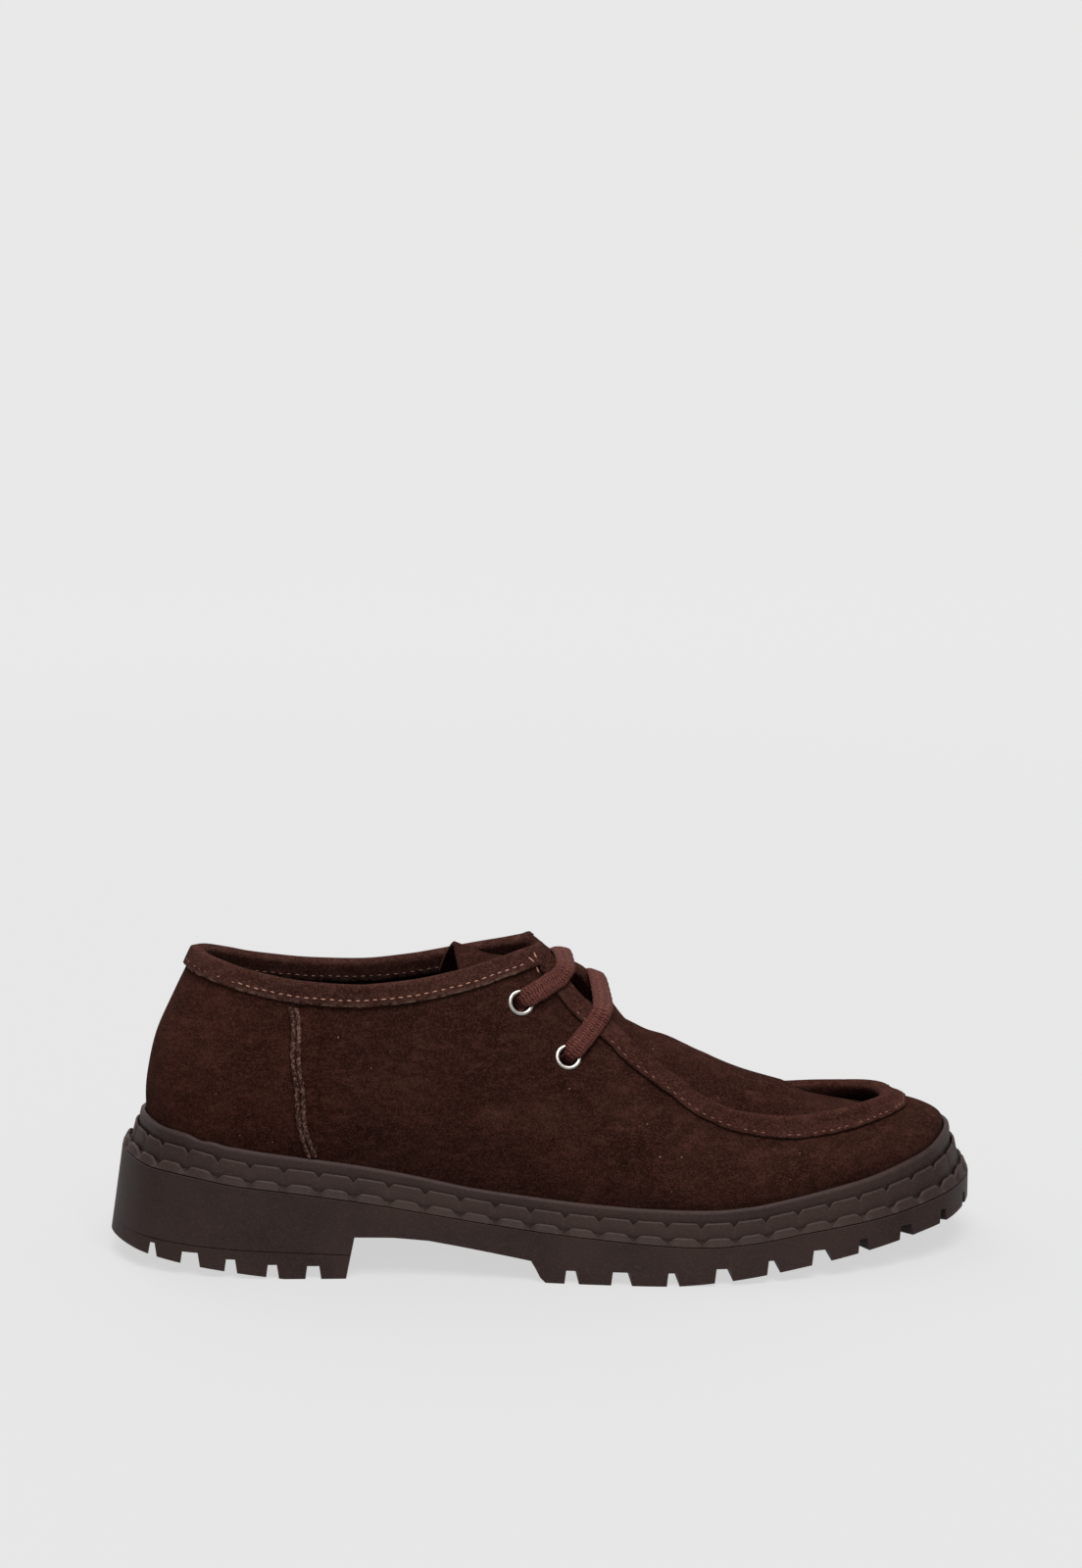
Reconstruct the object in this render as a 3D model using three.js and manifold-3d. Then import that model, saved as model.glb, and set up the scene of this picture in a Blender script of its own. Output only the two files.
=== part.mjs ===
import * as THREE from 'three';
import { mergeVertices } from 'three/addons/utils/BufferGeometryUtils.js';
import Module from 'manifold-3d';

// A low lace-up moccasin shoe in dark brown suede on a lugged rubber unit sole, for the right foot.
// Millimetres. +X runs to the toe, +Y to the inner side of the foot, +Z up, the ground at Z = 0.

const wasm = await Module();
wasm.setup();

// Unit sole, moulded in one piece
const soleLength = 301;
const ballWidth = 110;
const heelWidth = 82;
const heelStack = 49.6; // ground to the rim's crest at the back
const ballStack = 23.7; // ground to the rim's crest at the ball
const toeStack = 39.8; // ground to the rim's crest at the tip
const toeSpring = 14; // ground to the tread at the tip
const heelBevel = 7.4; // ground to the tread at the back
const bandHeight = 11; // the toothed steps and the rim, beside the ball
const weltWidth = 8.4; // side wall's top edge in to the upper's side of the rim
const sideLean = 2; // side wall's lean from the tread to its top edge
const heelLean = 4; // what the back of the heel leans beyond that
const cavityDepth = 8; // rim's crest down to the floor under the insole, beside the ball
const toothCount = 60; // in each toothed row, round the whole sole
const upperNotchDepth = 1.9;
const lowerNotchDepth = 2.5;
const treadDepth = 4.4;
const treadDraft = 0.8; // a groove's slope, mouth to bottom, on each side
const archHeight = 14;
const narrowGroove = 3.8;
const wideGroove = 6.4;
const channelWidth = 3.2; // groove that parts the edge lugs from the middle bars
const channelInset = 15;
const liftLine = 1.2; // moulded line round the heel

// Upper and what is fixed to it
const wall = 2;
const gap = 0.3; // between neighbouring pieces
const throatHeight = 107.2; // ground to the top corners of the facings
const collarBackHeight = 105.1;
const collarLowHeight = 96.3;
const apronHeight = 48.4; // ground to the moccasin ridge beside the ball
const toeRidgeHeight = 50.2; // the same at the toe
const collarWidth = 52;
const throatGap = 23;
const apronWidth = 56; // across the moccasin ridges
const wallSwell = 6.5; // how far the quarter's belly stands out over the rim
const wallSpread = 16; // how far the facing leans in over the wall below it
const innerSag = 2.4; // how much lower the inner side's top edge hangs
const innerSkew = 3; // how far back the inner facing's corner lies
const innerFlare = 10.7; // how much higher the inner facing stands between the eyelets
const insoleThickness = 4;
const tongueThickness = 1.8;
const crestHeight = 106.8; // ground to the tongue's turned-up end
const bindingWidth = 7.5;
const bindingThickness = 1.2;
const seamWidth = 3.4;
const seamHeight = 1.5;
const eyeletDiameter = 9;
const eyeletHole = 5.6;
const barrelDiameter = 6.4;
const flangeThickness = 0.9;
const laceWidth = 7;
const laceThickness = 2;
const laceBow = 0.6; // how far a bar bows to the toe over the throat
const laceRise = 1.4; // how far a bar stands off the facing's edge, beyond its clearance

const suede = { color: 0x37211c, roughness: 0.95, metalness: 0 };
const plugSuede = { color: 0x37201b, roughness: 0.95, metalness: 0 };
const bindingSuede = { color: 0x452b25, roughness: 0.92, metalness: 0 };
const rubber = { color: 0x443733, roughness: 0.78, metalness: 0 };
const lining = { color: 0x2a1c18, roughness: 0.9, metalness: 0 };
const nickel = { color: 0xb9b4ac, roughness: 0.25, metalness: 1 };
const cord = { color: 0x5b332d, roughness: 0.9, metalness: 0 };

// Outline of the tread. Half widths are shares of the heel width, then of the ball width.
const heelOutline = [
  { along: 0.033, outer: 0.28, inner: 0.28 },
  { along: 0.083, outer: 0.415, inner: 0.415 },
  { along: 0.15, outer: 0.485, inner: 0.485 },
  { along: 0.24, outer: 0.505, inner: 0.495 },
];
const frontOutline = [
  { along: 0.34, outer: 0.385, inner: 0.36 },
  { along: 0.44, outer: 0.422, inner: 0.342 },
  { along: 0.54, outer: 0.474, inner: 0.368 },
  { along: 0.63, outer: 0.508, inner: 0.422 },
  { along: 0.71, outer: 0.51, inner: 0.466 },
  { along: 0.79, outer: 0.468, inner: 0.482 },
  { along: 0.86, outer: 0.405, inner: 0.456 },
  { along: 0.92, outer: 0.315, inner: 0.388 },
  { along: 0.968, outer: 0.2, inner: 0.283 },
];
const toeSide = 0.055; // the tip's shift to the inner side, as a share of the ball width

// Heights round the sole. turn: share of the way round one side, from the back to the tip.
// heel, toe: shares of the extra stack at each end. band to lean: shares of their sizes.
const soleRows = [
  { turn: 0, heel: 1, toe: 0, band: 1.1, welt: 1, depth: 2.2, lean: 1 },
  { turn: 0.0494, heel: 0.977, toe: 0, band: 1.1, welt: 1, depth: 2.1, lean: 1 },
  { turn: 0.0988, heel: 0.935, toe: 0, band: 1.13, welt: 0.96, depth: 1.85, lean: 1 },
  { turn: 0.1383, heel: 0.885, toe: 0, band: 1.13, welt: 0.88, depth: 1.6, lean: 1 },
  { turn: 0.1828, heel: 0.755, toe: 0, band: 1.05, welt: 0.86, depth: 1.3, lean: 1 },
  { turn: 0.2371, heel: 0.645, toe: 0, band: 1, welt: 0.86, depth: 1.1, lean: 1 },
  { turn: 0.2964, heel: 0.529, toe: 0, band: 1, welt: 0.86, depth: 1, lean: 1 },
  { turn: 0.3557, heel: 0.382, toe: 0, band: 0.98, welt: 0.86, depth: 1, lean: 1 },
  { turn: 0.4248, heel: 0.205, toe: 0, band: 0.9, welt: 0.86, depth: 1, lean: 1 },
  { turn: 0.5236, heel: 0.066, toe: 0, band: 0.91, welt: 0.86, depth: 1, lean: 1 },
  { turn: 0.5928, heel: 0.016, toe: 0, band: 0.97, welt: 0.86, depth: 1, lean: 1 },
  { turn: 0.6422, heel: 0, toe: 0, band: 1, welt: 0.86, depth: 1, lean: 1 },
  { turn: 0.6817, heel: 0, toe: 0.035, band: 0.98, welt: 0.86, depth: 1, lean: 1 },
  { turn: 0.7311, heel: 0, toe: 0.165, band: 1, welt: 0.86, depth: 1.05, lean: 1 },
  { turn: 0.775, heel: 0, toe: 0.305, band: 1.08, welt: 0.87, depth: 1.2, lean: 0.9 },
  { turn: 0.815, heel: 0, toe: 0.43, band: 1.16, welt: 0.89, depth: 1.35, lean: 0.7 },
  { turn: 0.86, heel: 0, toe: 0.61, band: 1.27, welt: 0.92, depth: 1.5, lean: 0.5 },
  { turn: 0.905, heel: 0, toe: 0.81, band: 1.36, welt: 0.96, depth: 1.75, lean: 0.2 },
  { turn: 0.95, heel: 0, toe: 0.94, band: 1.46, welt: 1.02, depth: 1.9, lean: 0 },
  { turn: 0.98, heel: 0, toe: 0.985, band: 1.52, welt: 1.06, depth: 2, lean: 0 },
  { turn: 1, heel: 0, toe: 1, band: 1.53, welt: 1.08, depth: 2, lean: 0 },
];

// Section through the sole's two toothed steps and rim, from the side wall's top edge inward.
// up: share of the band's height, inset: share of the welt's width, notch: which row of teeth.
const bandRows = [
  { up: 0.0, inset: 0.035, notch: null },
  { up: 0.25, inset: 0.24, notch: 'lower' },
  { up: 0.25, inset: 0.4, notch: 'lower' },
  { up: 0.66, inset: 0.585, notch: 'upper' },
  { up: 0.66, inset: 0.71, notch: 'upper' },
  { up: 0.72, inset: 0.71, notch: null },
  { up: 1, inset: 0.84, notch: null },
  { up: 1, inset: 1, notch: null },
];

// Tread. turn: where each groove meets the edge, wide: 1 for the wide grooves.
const heelGrooves = [
  { turn: 0.2618, wide: 0.4 },
  { turn: 0.2228, wide: 0 },
  { turn: 0.1838, wide: 0 },
  { turn: 0.1447, wide: 0.9 },
  { turn: 0.1057, wide: -0.5 },
];
const frontGrooves = [
  { turn: 0.5108, wide: 0.2 },
  { turn: 0.5582, wide: 1 },
  { turn: 0.6066, wide: 0 },
  { turn: 0.6541, wide: 0.7 },
  { turn: 0.7015, wide: 0.1 },
  { turn: 0.7499, wide: 1 },
];
const toeGrooves = [
  { turn: 0.7977, wide: 0 },
  { turn: 0.848, wide: 0.6 },
  { turn: 0.8983, wide: -0.2 },
  { turn: 0.9497, wide: -0.2 },
  { turn: 1, wide: -0.2 },
];

// Upper's top edge along the collar. side: share of half the collar's width, back and throat:
// shares of the rise over the collar's low point. lift, drop: shares of the wall's height at
// which it stands out most. swell, spread: shares of wallSwell and wallSpread.
const collarRows = [
  {
    turn: 0, along: 0.105, side: 0, back: 1, throat: 0,
    lift: 0.42, swell: 0.231, drop: 0.35, spread: 0.562,
  },
  {
    turn: 0.0593, along: 0.115, side: 0.33, back: 0.94, throat: 0,
    lift: 0.42, swell: 0.308, drop: 0.35, spread: 0.5,
  },
  {
    turn: 0.1186, along: 0.14, side: 0.61, back: 0.73, throat: 0,
    lift: 0.4, swell: 0.462, drop: 0.35, spread: 0.406,
  },
  {
    turn: 0.1778, along: 0.183, side: 0.82, back: 0.38, throat: 0,
    lift: 0.38, swell: 0.692, drop: 0.35, spread: 0.312,
  },
  {
    turn: 0.2371, along: 0.237, side: 0.945, back: 0.1, throat: 0,
    lift: 0.36, swell: 0.923, drop: 0.35, spread: 0.25,
  },
  {
    turn: 0.2964, along: 0.293, side: 1, back: 0, throat: 0,
    lift: 0.36, swell: 1, drop: 0.35, spread: 0.25,
  },
  {
    turn: 0.3458, along: 0.347, side: 0.99, back: 0, throat: 0.12,
    lift: 0.36, swell: 1, drop: 0.35, spread: 0.344,
  },
  {
    turn: 0.3952, along: 0.403, side: 0.92, back: 0, throat: 0.39,
    lift: 0.36, swell: 0.923, drop: 0.34, spread: 0.5,
  },
  {
    turn: 0.4298, along: 0.45, side: 0.735, back: 0, throat: 0.7,
    lift: 0.36, swell: 0.846, drop: 0.32, spread: 0.75,
  },
];
const cornerRow = {
  turn: 0.4667, along: 0.497, flare: 0.075,
  lift: 0.36, swell: 0.769, drop: 0.3, spread: 1,
};

// The same down the facing and round the apron. close and wide: shares of half the throat gap
// and half the apron's width. rise: share of the throat's height over the apron's low point.
const frontRows = [
  {
    turn: 0.4765, along: 0.5123, close: 1, wide: 0.01, rise: 0.9, toe: 0,
    flare: 0.24, lift: 0.36, swell: 0.769, drop: 0.3, spread: 1,
  },
  {
    turn: 0.4875, along: 0.5267, close: 0.92, wide: 0.07, rise: 0.785, toe: 0,
    flare: 0.52, lift: 0.36, swell: 0.692, drop: 0.3, spread: 0.969,
  },
  {
    turn: 0.4989, along: 0.542, close: 0.8, wide: 0.17, rise: 0.692, toe: 0,
    flare: 0.8, lift: 0.36, swell: 0.692, drop: 0.28, spread: 0.938,
  },
  {
    turn: 0.5138, along: 0.5563, close: 0.6, wide: 0.3, rise: 0.626, toe: 0,
    flare: 0.91, lift: 0.36, swell: 0.615, drop: 0.27, spread: 0.875,
  },
  {
    turn: 0.5335, along: 0.5747, close: 0.3, wide: 0.5, rise: 0.558, toe: 0,
    flare: 0.59, lift: 0.36, swell: 0.615, drop: 0.26, spread: 0.781,
  },
  {
    turn: 0.573, along: 0.61, close: 0, wide: 0.79, rise: 0.395, toe: 0,
    flare: 0.08, lift: 0.38, swell: 0.538, drop: 0.26, spread: 0.625,
  },
  {
    turn: 0.6076, along: 0.6467, close: 0, wide: 0.9, rise: 0.258, toe: 0,
    flare: 0, lift: 0.42, swell: 0.462, drop: 0.28, spread: 0.5,
  },
  {
    turn: 0.6422, along: 0.68, close: 0, wide: 0.965, rise: 0.131, toe: 0,
    flare: 0, lift: 0.5, swell: 0.385, drop: 0.32, spread: 0.375,
  },
  {
    turn: 0.6817, along: 0.7233, close: 0, wide: 1, rise: 0.041, toe: 0,
    flare: 0, lift: 0.58, swell: 0.308, drop: 0.4, spread: 0.25,
  },
  {
    turn: 0.7361, along: 0.78, close: 0, wide: 1, rise: 0, toe: 0.2,
    flare: 0, lift: 0.62, swell: 0.308, drop: 0.5, spread: 0.125,
  },
  {
    turn: 0.7805, along: 0.82, close: 0, wide: 0.94, rise: 0, toe: 0.45,
    flare: 0, lift: 0.64, swell: 0.308, drop: 0.5, spread: 0.094,
  },
  {
    turn: 0.8218, along: 0.847, close: 0, wide: 0.835, rise: 0, toe: 0.72,
    flare: 0, lift: 0.64, swell: 0.277, drop: 0.45, spread: 0.094,
  },
  {
    turn: 0.8585, along: 0.868, close: 0, wide: 0.71, rise: 0, toe: 1.02,
    flare: 0, lift: 0.62, swell: 0.231, drop: 0.4, spread: 0.094,
  },
  {
    turn: 0.9057, along: 0.889, close: 0, wide: 0.52, rise: 0, toe: 1.12,
    flare: 0, lift: 0.6, swell: 0.154, drop: 0.38, spread: 0.094,
  },
  {
    turn: 0.9528, along: 0.9025, close: 0, wide: 0.28, rise: 0, toe: 1.05,
    flare: 0, lift: 0.58, swell: 0.092, drop: 0.36, spread: 0.125,
  },
  {
    turn: 1, along: 0.906, close: 0, wide: 0, rise: 0, toe: 0.92,
    flare: 0, lift: 0.58, swell: 0.077, drop: 0.35, spread: 0.125,
  },
];

// Middle line of the apron and the plug's crest. up: share of the crest height.
const crestRows = [
  { along: 0.4, up: 0.995, sway: 0 },
  { along: 0.41, up: 0.985, sway: 0 },
  { along: 0.433, up: 0.955, sway: 0 },
  { along: 0.467, up: 0.935, sway: 0 },
  { along: 0.5, up: 0.885, sway: 0 },
  { along: 0.533, up: 0.83, sway: 0 },
  { along: 0.567, up: 0.775, sway: 0 },
  { along: 0.6, up: 0.727, sway: 0 },
  { along: 0.657, up: 0.658, sway: 0 },
  { along: 0.727, up: 0.563, sway: 0 },
  { along: 0.783, up: 0.515, sway: 0.4 },
  { along: 0.82, up: 0.478, sway: 1.6 },
  { along: 0.85, up: 0.451, sway: 3 },
  { along: 0.887, up: 0.42, sway: 4.4 },
  { along: 0.906, up: 0.398, sway: 5 },
];

// Interpolates one named column of a table, smooth through its rows.
function column(rows, by, key, at) {
  const last = rows.length - 1;
  if (at <= rows[0][by]) {
    return rows[0][key];
  }
  if (at >= rows[last][by]) {
    return rows[last][key];
  }
  let k = 0;
  while (at > rows[k + 1][by]) {
    k += 1;
  }
  const slope = (a, b) => (rows[b][key] - rows[a][key]) / (rows[b][by] - rows[a][by]);
  const tangent = (i) => {
    if (i === 0 || i === last) {
      return i === 0 ? slope(0, 1) : slope(last - 1, last);
    }
    const before = slope(i - 1, i);
    const after = slope(i, i + 1);
    return before * after <= 0 ? 0 : (2 * before * after) / (before + after);
  };
  const span = rows[k + 1][by] - rows[k][by];
  const w = (at - rows[k][by]) / span;
  const w2 = w * w;
  const w3 = w2 * w;
  return (
    rows[k][key] * (2 * w3 - 3 * w2 + 1) +
    rows[k + 1][key] * (3 * w2 - 2 * w3) +
    tangent(k) * span * (w3 - 2 * w2 + w) +
    tangent(k + 1) * span * (w3 - w2)
  );
}

// Outline as one closed curve: the back, the outer side, the tip and the inner side.
const outlineX = (row) => (row.along - 0.5) * soleLength;
const halves = (side) => [
  ...heelOutline.map((row) => [outlineX(row), row[side] * heelWidth]),
  ...frontOutline.map((row) => [outlineX(row), row[side] * ballWidth]),
];
const outline = new THREE.CatmullRomCurve3(
  [
    new THREE.Vector3(-soleLength / 2, 0, 0),
    ...halves('outer').map(([x, y]) => new THREE.Vector3(x, -y, 0)),
    new THREE.Vector3(soleLength / 2, toeSide * ballWidth, 0),
    ...halves('inner').reverse().map(([x, y]) => new THREE.Vector3(x, y, 0)),
  ],
  true,
  'centripetal',
);
outline.arcLengthDivisions = 800;
const outlineLength = outline.getLength();
const outerSideLength = outline.getLengths(800)[400];
const tipShare = outerSideLength / outlineLength;

// A turn of 0 to 1 runs up the outer side from the back to the tip, 1 to 2 back down the inner side.
function share(turn) {
  const t = ((turn % 2) + 2) % 2;
  return t <= 1 ? t * tipShare : tipShare + (t - 1) * (1 - tipShare);
}

function oneSide(turn) {
  const t = ((turn % 2) + 2) % 2;
  return t <= 1 ? t : 2 - t;
}

function outward(turn) {
  const step = 0.0015;
  const before = outline.getPointAt(((share(turn) - step) % 1 + 1) % 1);
  const after = outline.getPointAt((share(turn) + step) % 1);
  const along = after.sub(before).normalize();
  return new THREE.Vector3(along.y, -along.x, 0);
}

function plan(turn, inset) {
  return outline.getPointAt(share(turn) % 1).addScaledVector(outward(turn), -inset);
}

function rimHeight(turn) {
  const t = oneSide(turn);
  const heel = column(soleRows, 'turn', 'heel', t) * (heelStack - ballStack);
  const toe = column(soleRows, 'turn', 'toe', t) * (toeStack - ballStack);
  return ballStack + heel + toe;
}

const bandAt = (turn) => bandHeight * column(soleRows, 'turn', 'band', oneSide(turn));
const weltAt = (turn) => weltWidth * column(soleRows, 'turn', 'welt', oneSide(turn));
const floorHeight = (turn) =>
  rimHeight(turn) - cavityDepth * column(soleRows, 'turn', 'depth', oneSide(turn));
const sideInset = (turn) =>
  sideLean * column(soleRows, 'turn', 'lean', oneSide(turn)) +
  heelLean * Math.max(0, 1 - oneSide(turn) / 0.1);

// Line of the tread from the side.
const bevelStart = -0.207 * soleLength;
const breast = -0.22 * soleLength;
const ballStart = -0.0035 * soleLength;
const springStart = 0.14 * soleLength;
const archRows = [
  { along: -0.2155, up: 1 },
  { along: -0.173, up: 0.985 },
  { along: -0.133, up: 0.92 },
  { along: -0.093, up: 0.78 },
  { along: -0.055, up: 0.64 },
  { along: -0.0195, up: 0.51 },
  { along: -0.0145, up: 0.33 },
  { along: -0.0095, up: 0.12 },
];

function treadHeight(x) {
  if (x < bevelStart * 1.42) {
    return (heelBevel * (bevelStart * 1.42 - x)) / (soleLength / 2 + bevelStart * 1.42);
  }
  if (x > springStart) {
    return toeSpring * Math.pow((x - springStart) / (soleLength / 2 - springStart), 1.25);
  }
  return 0;
}

// Solids from rings of points and bridges between rings.
class Mesher {
  constructor() {
    this.points = [];
    this.faces = [];
  }

  add(point) {
    this.points.push(point);
    return this.points.length - 1;
  }

  face(a, b, c) {
    if (a !== b && b !== c && c !== a) {
      this.faces.push([a, b, c]);
    }
  }

  quad(a, b, c, d) {
    this.face(a, b, c);
    this.face(a, c, d);
  }

  // Joins two closed rings whose points carry the place they have round the sole.
  bridge(low, high) {
    let i = 0;
    let j = 0;
    while (i < low.length || j < high.length) {
      const a = low[i % low.length];
      const b = high[j % high.length];
      const lowNext = i < low.length ? (low[i + 1]?.turn ?? 2) : Infinity;
      const highNext = j < high.length ? (high[j + 1]?.turn ?? 2) : Infinity;
      if (lowNext <= highNext + 1e-9 && i < low.length) {
        const next = low[(i + 1) % low.length];
        this.face(a.id, next.id, b.id);
        i += 1;
      } else {
        const next = high[(j + 1) % high.length];
        this.face(a.id, next.id, b.id);
        j += 1;
      }
    }
  }

  // Closes a ring with strips from side to side.
  cap(ring, up) {
    const n = ring.length;
    for (let i = 0; i < n / 2; i += 1) {
      const a = ring[i].id;
      const b = ring[i + 1].id;
      const c = ring[(n - i - 1) % n].id;
      const d = ring[(n - i) % n].id;
      if (up) {
        this.quad(a, b, c, d);
      } else {
        this.quad(d, c, b, a);
      }
    }
  }

  geometry() {
    const positions = [];
    for (const face of this.faces) {
      for (const k of face) {
        positions.push(this.points[k].x, this.points[k].y, this.points[k].z);
      }
    }
    const geometry = new THREE.BufferGeometry();
    geometry.setAttribute('position', new THREE.Float32BufferAttribute(positions, 3));
    return geometry;
  }
}

function toManifold(geometry) {
  const bare = new THREE.BufferGeometry();
  bare.setAttribute('position', geometry.getAttribute('position').clone());
  if (geometry.index) {
    bare.setIndex(geometry.index.clone());
  }
  const merged = mergeVertices(bare, 1e-4);
  return new wasm.Manifold(
    new wasm.Mesh({
      numProp: 3,
      vertProperties: new Float32Array(merged.getAttribute('position').array),
      triVerts: new Uint32Array(merged.index.array),
    }),
  );
}

function fromManifold(solid) {
  const mesh = solid.getMesh();
  const geometry = new THREE.BufferGeometry();
  const positions = [];
  for (const k of mesh.triVerts) {
    positions.push(
      mesh.vertProperties[k * mesh.numProp],
      mesh.vertProperties[k * mesh.numProp + 1],
      mesh.vertProperties[k * mesh.numProp + 2],
    );
  }
  geometry.setAttribute('position', new THREE.Float32BufferAttribute(positions, 3));
  return geometry;
}

// A prism between two outlines of the same number of points.
function prism(first, second) {
  const mesher = new Mesher();
  const a = first.map((point) => mesher.add(point));
  const b = second.map((point) => mesher.add(point));
  const n = a.length;
  for (let i = 0; i < n; i += 1) {
    const k = (i + 1) % n;
    mesher.quad(a[i], a[k], b[k], b[i]);
  }
  for (let i = 1; i < n - 1; i += 1) {
    mesher.face(a[0], a[i + 1], a[i]);
    mesher.face(b[0], b[i], b[i + 1]);
  }
  const geometry = mesher.geometry();
  return signedVolume(geometry) < 0 ? flipped(geometry) : geometry;
}

function signedVolume(geometry) {
  const at = geometry.getAttribute('position');
  let total = 0;
  for (let i = 0; i < at.count; i += 3) {
    const a = new THREE.Vector3().fromBufferAttribute(at, i);
    const b = new THREE.Vector3().fromBufferAttribute(at, i + 1);
    const c = new THREE.Vector3().fromBufferAttribute(at, i + 2);
    total += a.dot(b.cross(c)) / 6;
  }
  return total;
}

function flipped(geometry) {
  const at = geometry.getAttribute('position').array;
  for (let i = 0; i < at.length; i += 9) {
    for (let k = 0; k < 3; k += 1) {
      const keep = at[i + 3 + k];
      at[i + 3 + k] = at[i + 6 + k];
      at[i + 6 + k] = keep;
    }
  }
  return geometry;
}

// The sole's body, ring by ring from the tread up over the rim and down to the floor inside.
const toothTurn = 2 / toothCount;

function soleRing(inset, height, perTooth) {
  const ring = [];
  for (let i = 0; i < toothCount * perTooth; i += 1) {
    const turn = (i * toothTurn) / perTooth;
    const point = plan(turn, inset(turn));
    point.z = height(turn);
    ring.push({ turn, point });
  }
  return ring;
}

function toothedRing(inset, height, depth, mouth) {
  const ring = [];
  for (let i = 0; i < toothCount; i += 1) {
    const middle = i * toothTurn;
    for (const side of [-1, 0, 1]) {
      const turn = middle + side * mouth * toothTurn;
      const point = plan(turn, inset(turn));
      point.z = height(turn) - (side === 0 ? depth : 0);
      ring.push({ turn, point });
    }
  }
  ring.push(ring.shift());
  ring[ring.length - 1].turn += 2;
  return ring;
}

function soleBody() {
  const mesher = new Mesher();
  const place = (ring) => ring.map((entry) => ({ turn: entry.turn, id: mesher.add(entry.point) }));
  const sideHeight = (turn) => rimHeight(turn) - bandAt(turn);
  const rings = [
    place(soleRing(() => 0, () => -2, 1)),
    place(soleRing(sideInset, sideHeight, 1)),
  ];
  for (const row of bandRows) {
    const inset = (turn) => sideInset(turn) + weltAt(turn) * row.inset;
    const height = (turn) => rimHeight(turn) - bandAt(turn) * (1 - row.up);
    if (row.notch === null) {
      rings.push(place(soleRing(inset, height, 1)));
    } else {
      const lower = row.notch === 'lower';
      const depth = lower ? Math.min(lowerNotchDepth, bandHeight * 0.22) : upperNotchDepth;
      rings.push(place(toothedRing(inset, height, depth, lower ? 0.2 : 0.14)));
    }
  }
  rings.push(place(soleRing((turn) => sideInset(turn) + weltAt(turn), floorHeight, 1)));
  mesher.cap(rings[0], false);
  for (let i = 0; i + 1 < rings.length; i += 1) {
    mesher.bridge(rings[i], rings[i + 1]);
  }
  mesher.cap(rings[rings.length - 1], true);
  return toManifold(mesher.geometry());
}

// What is cut away below the line of the tread, right across.
function underCut() {
  const line = [];
  const low = -6;
  const x = (along) => along * soleLength;
  line.push([x(-0.6), low]);
  line.push([x(-0.6), treadHeight(x(-0.6))]);
  line.push([bevelStart * 1.42, 0]);
  line.push([breast - 1.6, 0]);
  for (const row of archRows) {
    line.push([x(row.along), row.up * archHeight]);
  }
  line.push([ballStart, 0]);
  for (let k = 0; k <= 8; k += 1) {
    const at = springStart + ((x(0.6) - springStart) * k) / 8;
    line.push([at, treadHeight(at)]);
  }
  line.push([x(0.6), low]);
  const mesher = new THREE.Shape(line.map(([a, b]) => new THREE.Vector2(a, b)));
  const geometry = new THREE.ExtrudeGeometry(mesher, { depth: 2 * ballWidth, bevelEnabled: false });
  geometry.rotateX(Math.PI / 2);
  geometry.translate(0, ballWidth, 0);
  return toManifold(geometry);
}

// A groove from one point of the tread to another.
function groove(from, to, width) {
  const along = to.clone().sub(from).normalize();
  const across = new THREE.Vector3(-along.y, along.x, 0);
  const ring = (at) => {
    const base = treadHeight(at.x);
    const corner = (half, z) => at.clone().addScaledVector(across, half).setZ(z);
    return [
      corner(-width / 2 - treadDraft, base - 4),
      corner(width / 2 + treadDraft, base - 4),
      corner(width / 2 - treadDraft / 2, base + treadDepth),
      corner(-width / 2 + treadDraft / 2, base + treadDepth),
    ];
  };
  return toManifold(prism(ring(from), ring(to)));
}

// The channel that runs round inside the edge lugs.
function channel(from, to, steps) {
  const mesher = new Mesher();
  const rings = [];
  for (let i = 0; i <= steps; i += 1) {
    const turn = from + ((to - from) * i) / steps;
    const ring = [
      [channelInset - channelWidth / 2 - treadDraft, -4],
      [channelInset - channelWidth / 2 + treadDraft / 2, treadDepth],
      [channelInset + channelWidth / 2 - treadDraft / 2, treadDepth],
      [channelInset + channelWidth / 2 + treadDraft, -4],
    ].map(([inset, up]) => {
      const point = plan(turn, inset);
      point.z = treadHeight(point.x) + up;
      return mesher.add(point);
    });
    rings.push(ring);
  }
  for (let i = 0; i < steps; i += 1) {
    for (let k = 0; k < 4; k += 1) {
      const n = (k + 1) % 4;
      mesher.quad(rings[i][k], rings[i][n], rings[i + 1][n], rings[i + 1][k]);
    }
  }
  const end = rings[steps];
  mesher.quad(rings[0][3], rings[0][2], rings[0][1], rings[0][0]);
  mesher.quad(end[0], end[1], end[2], end[3]);
  const geometry = mesher.geometry();
  return toManifold(signedVolume(geometry) < 0 ? flipped(geometry) : geometry);
}

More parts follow.
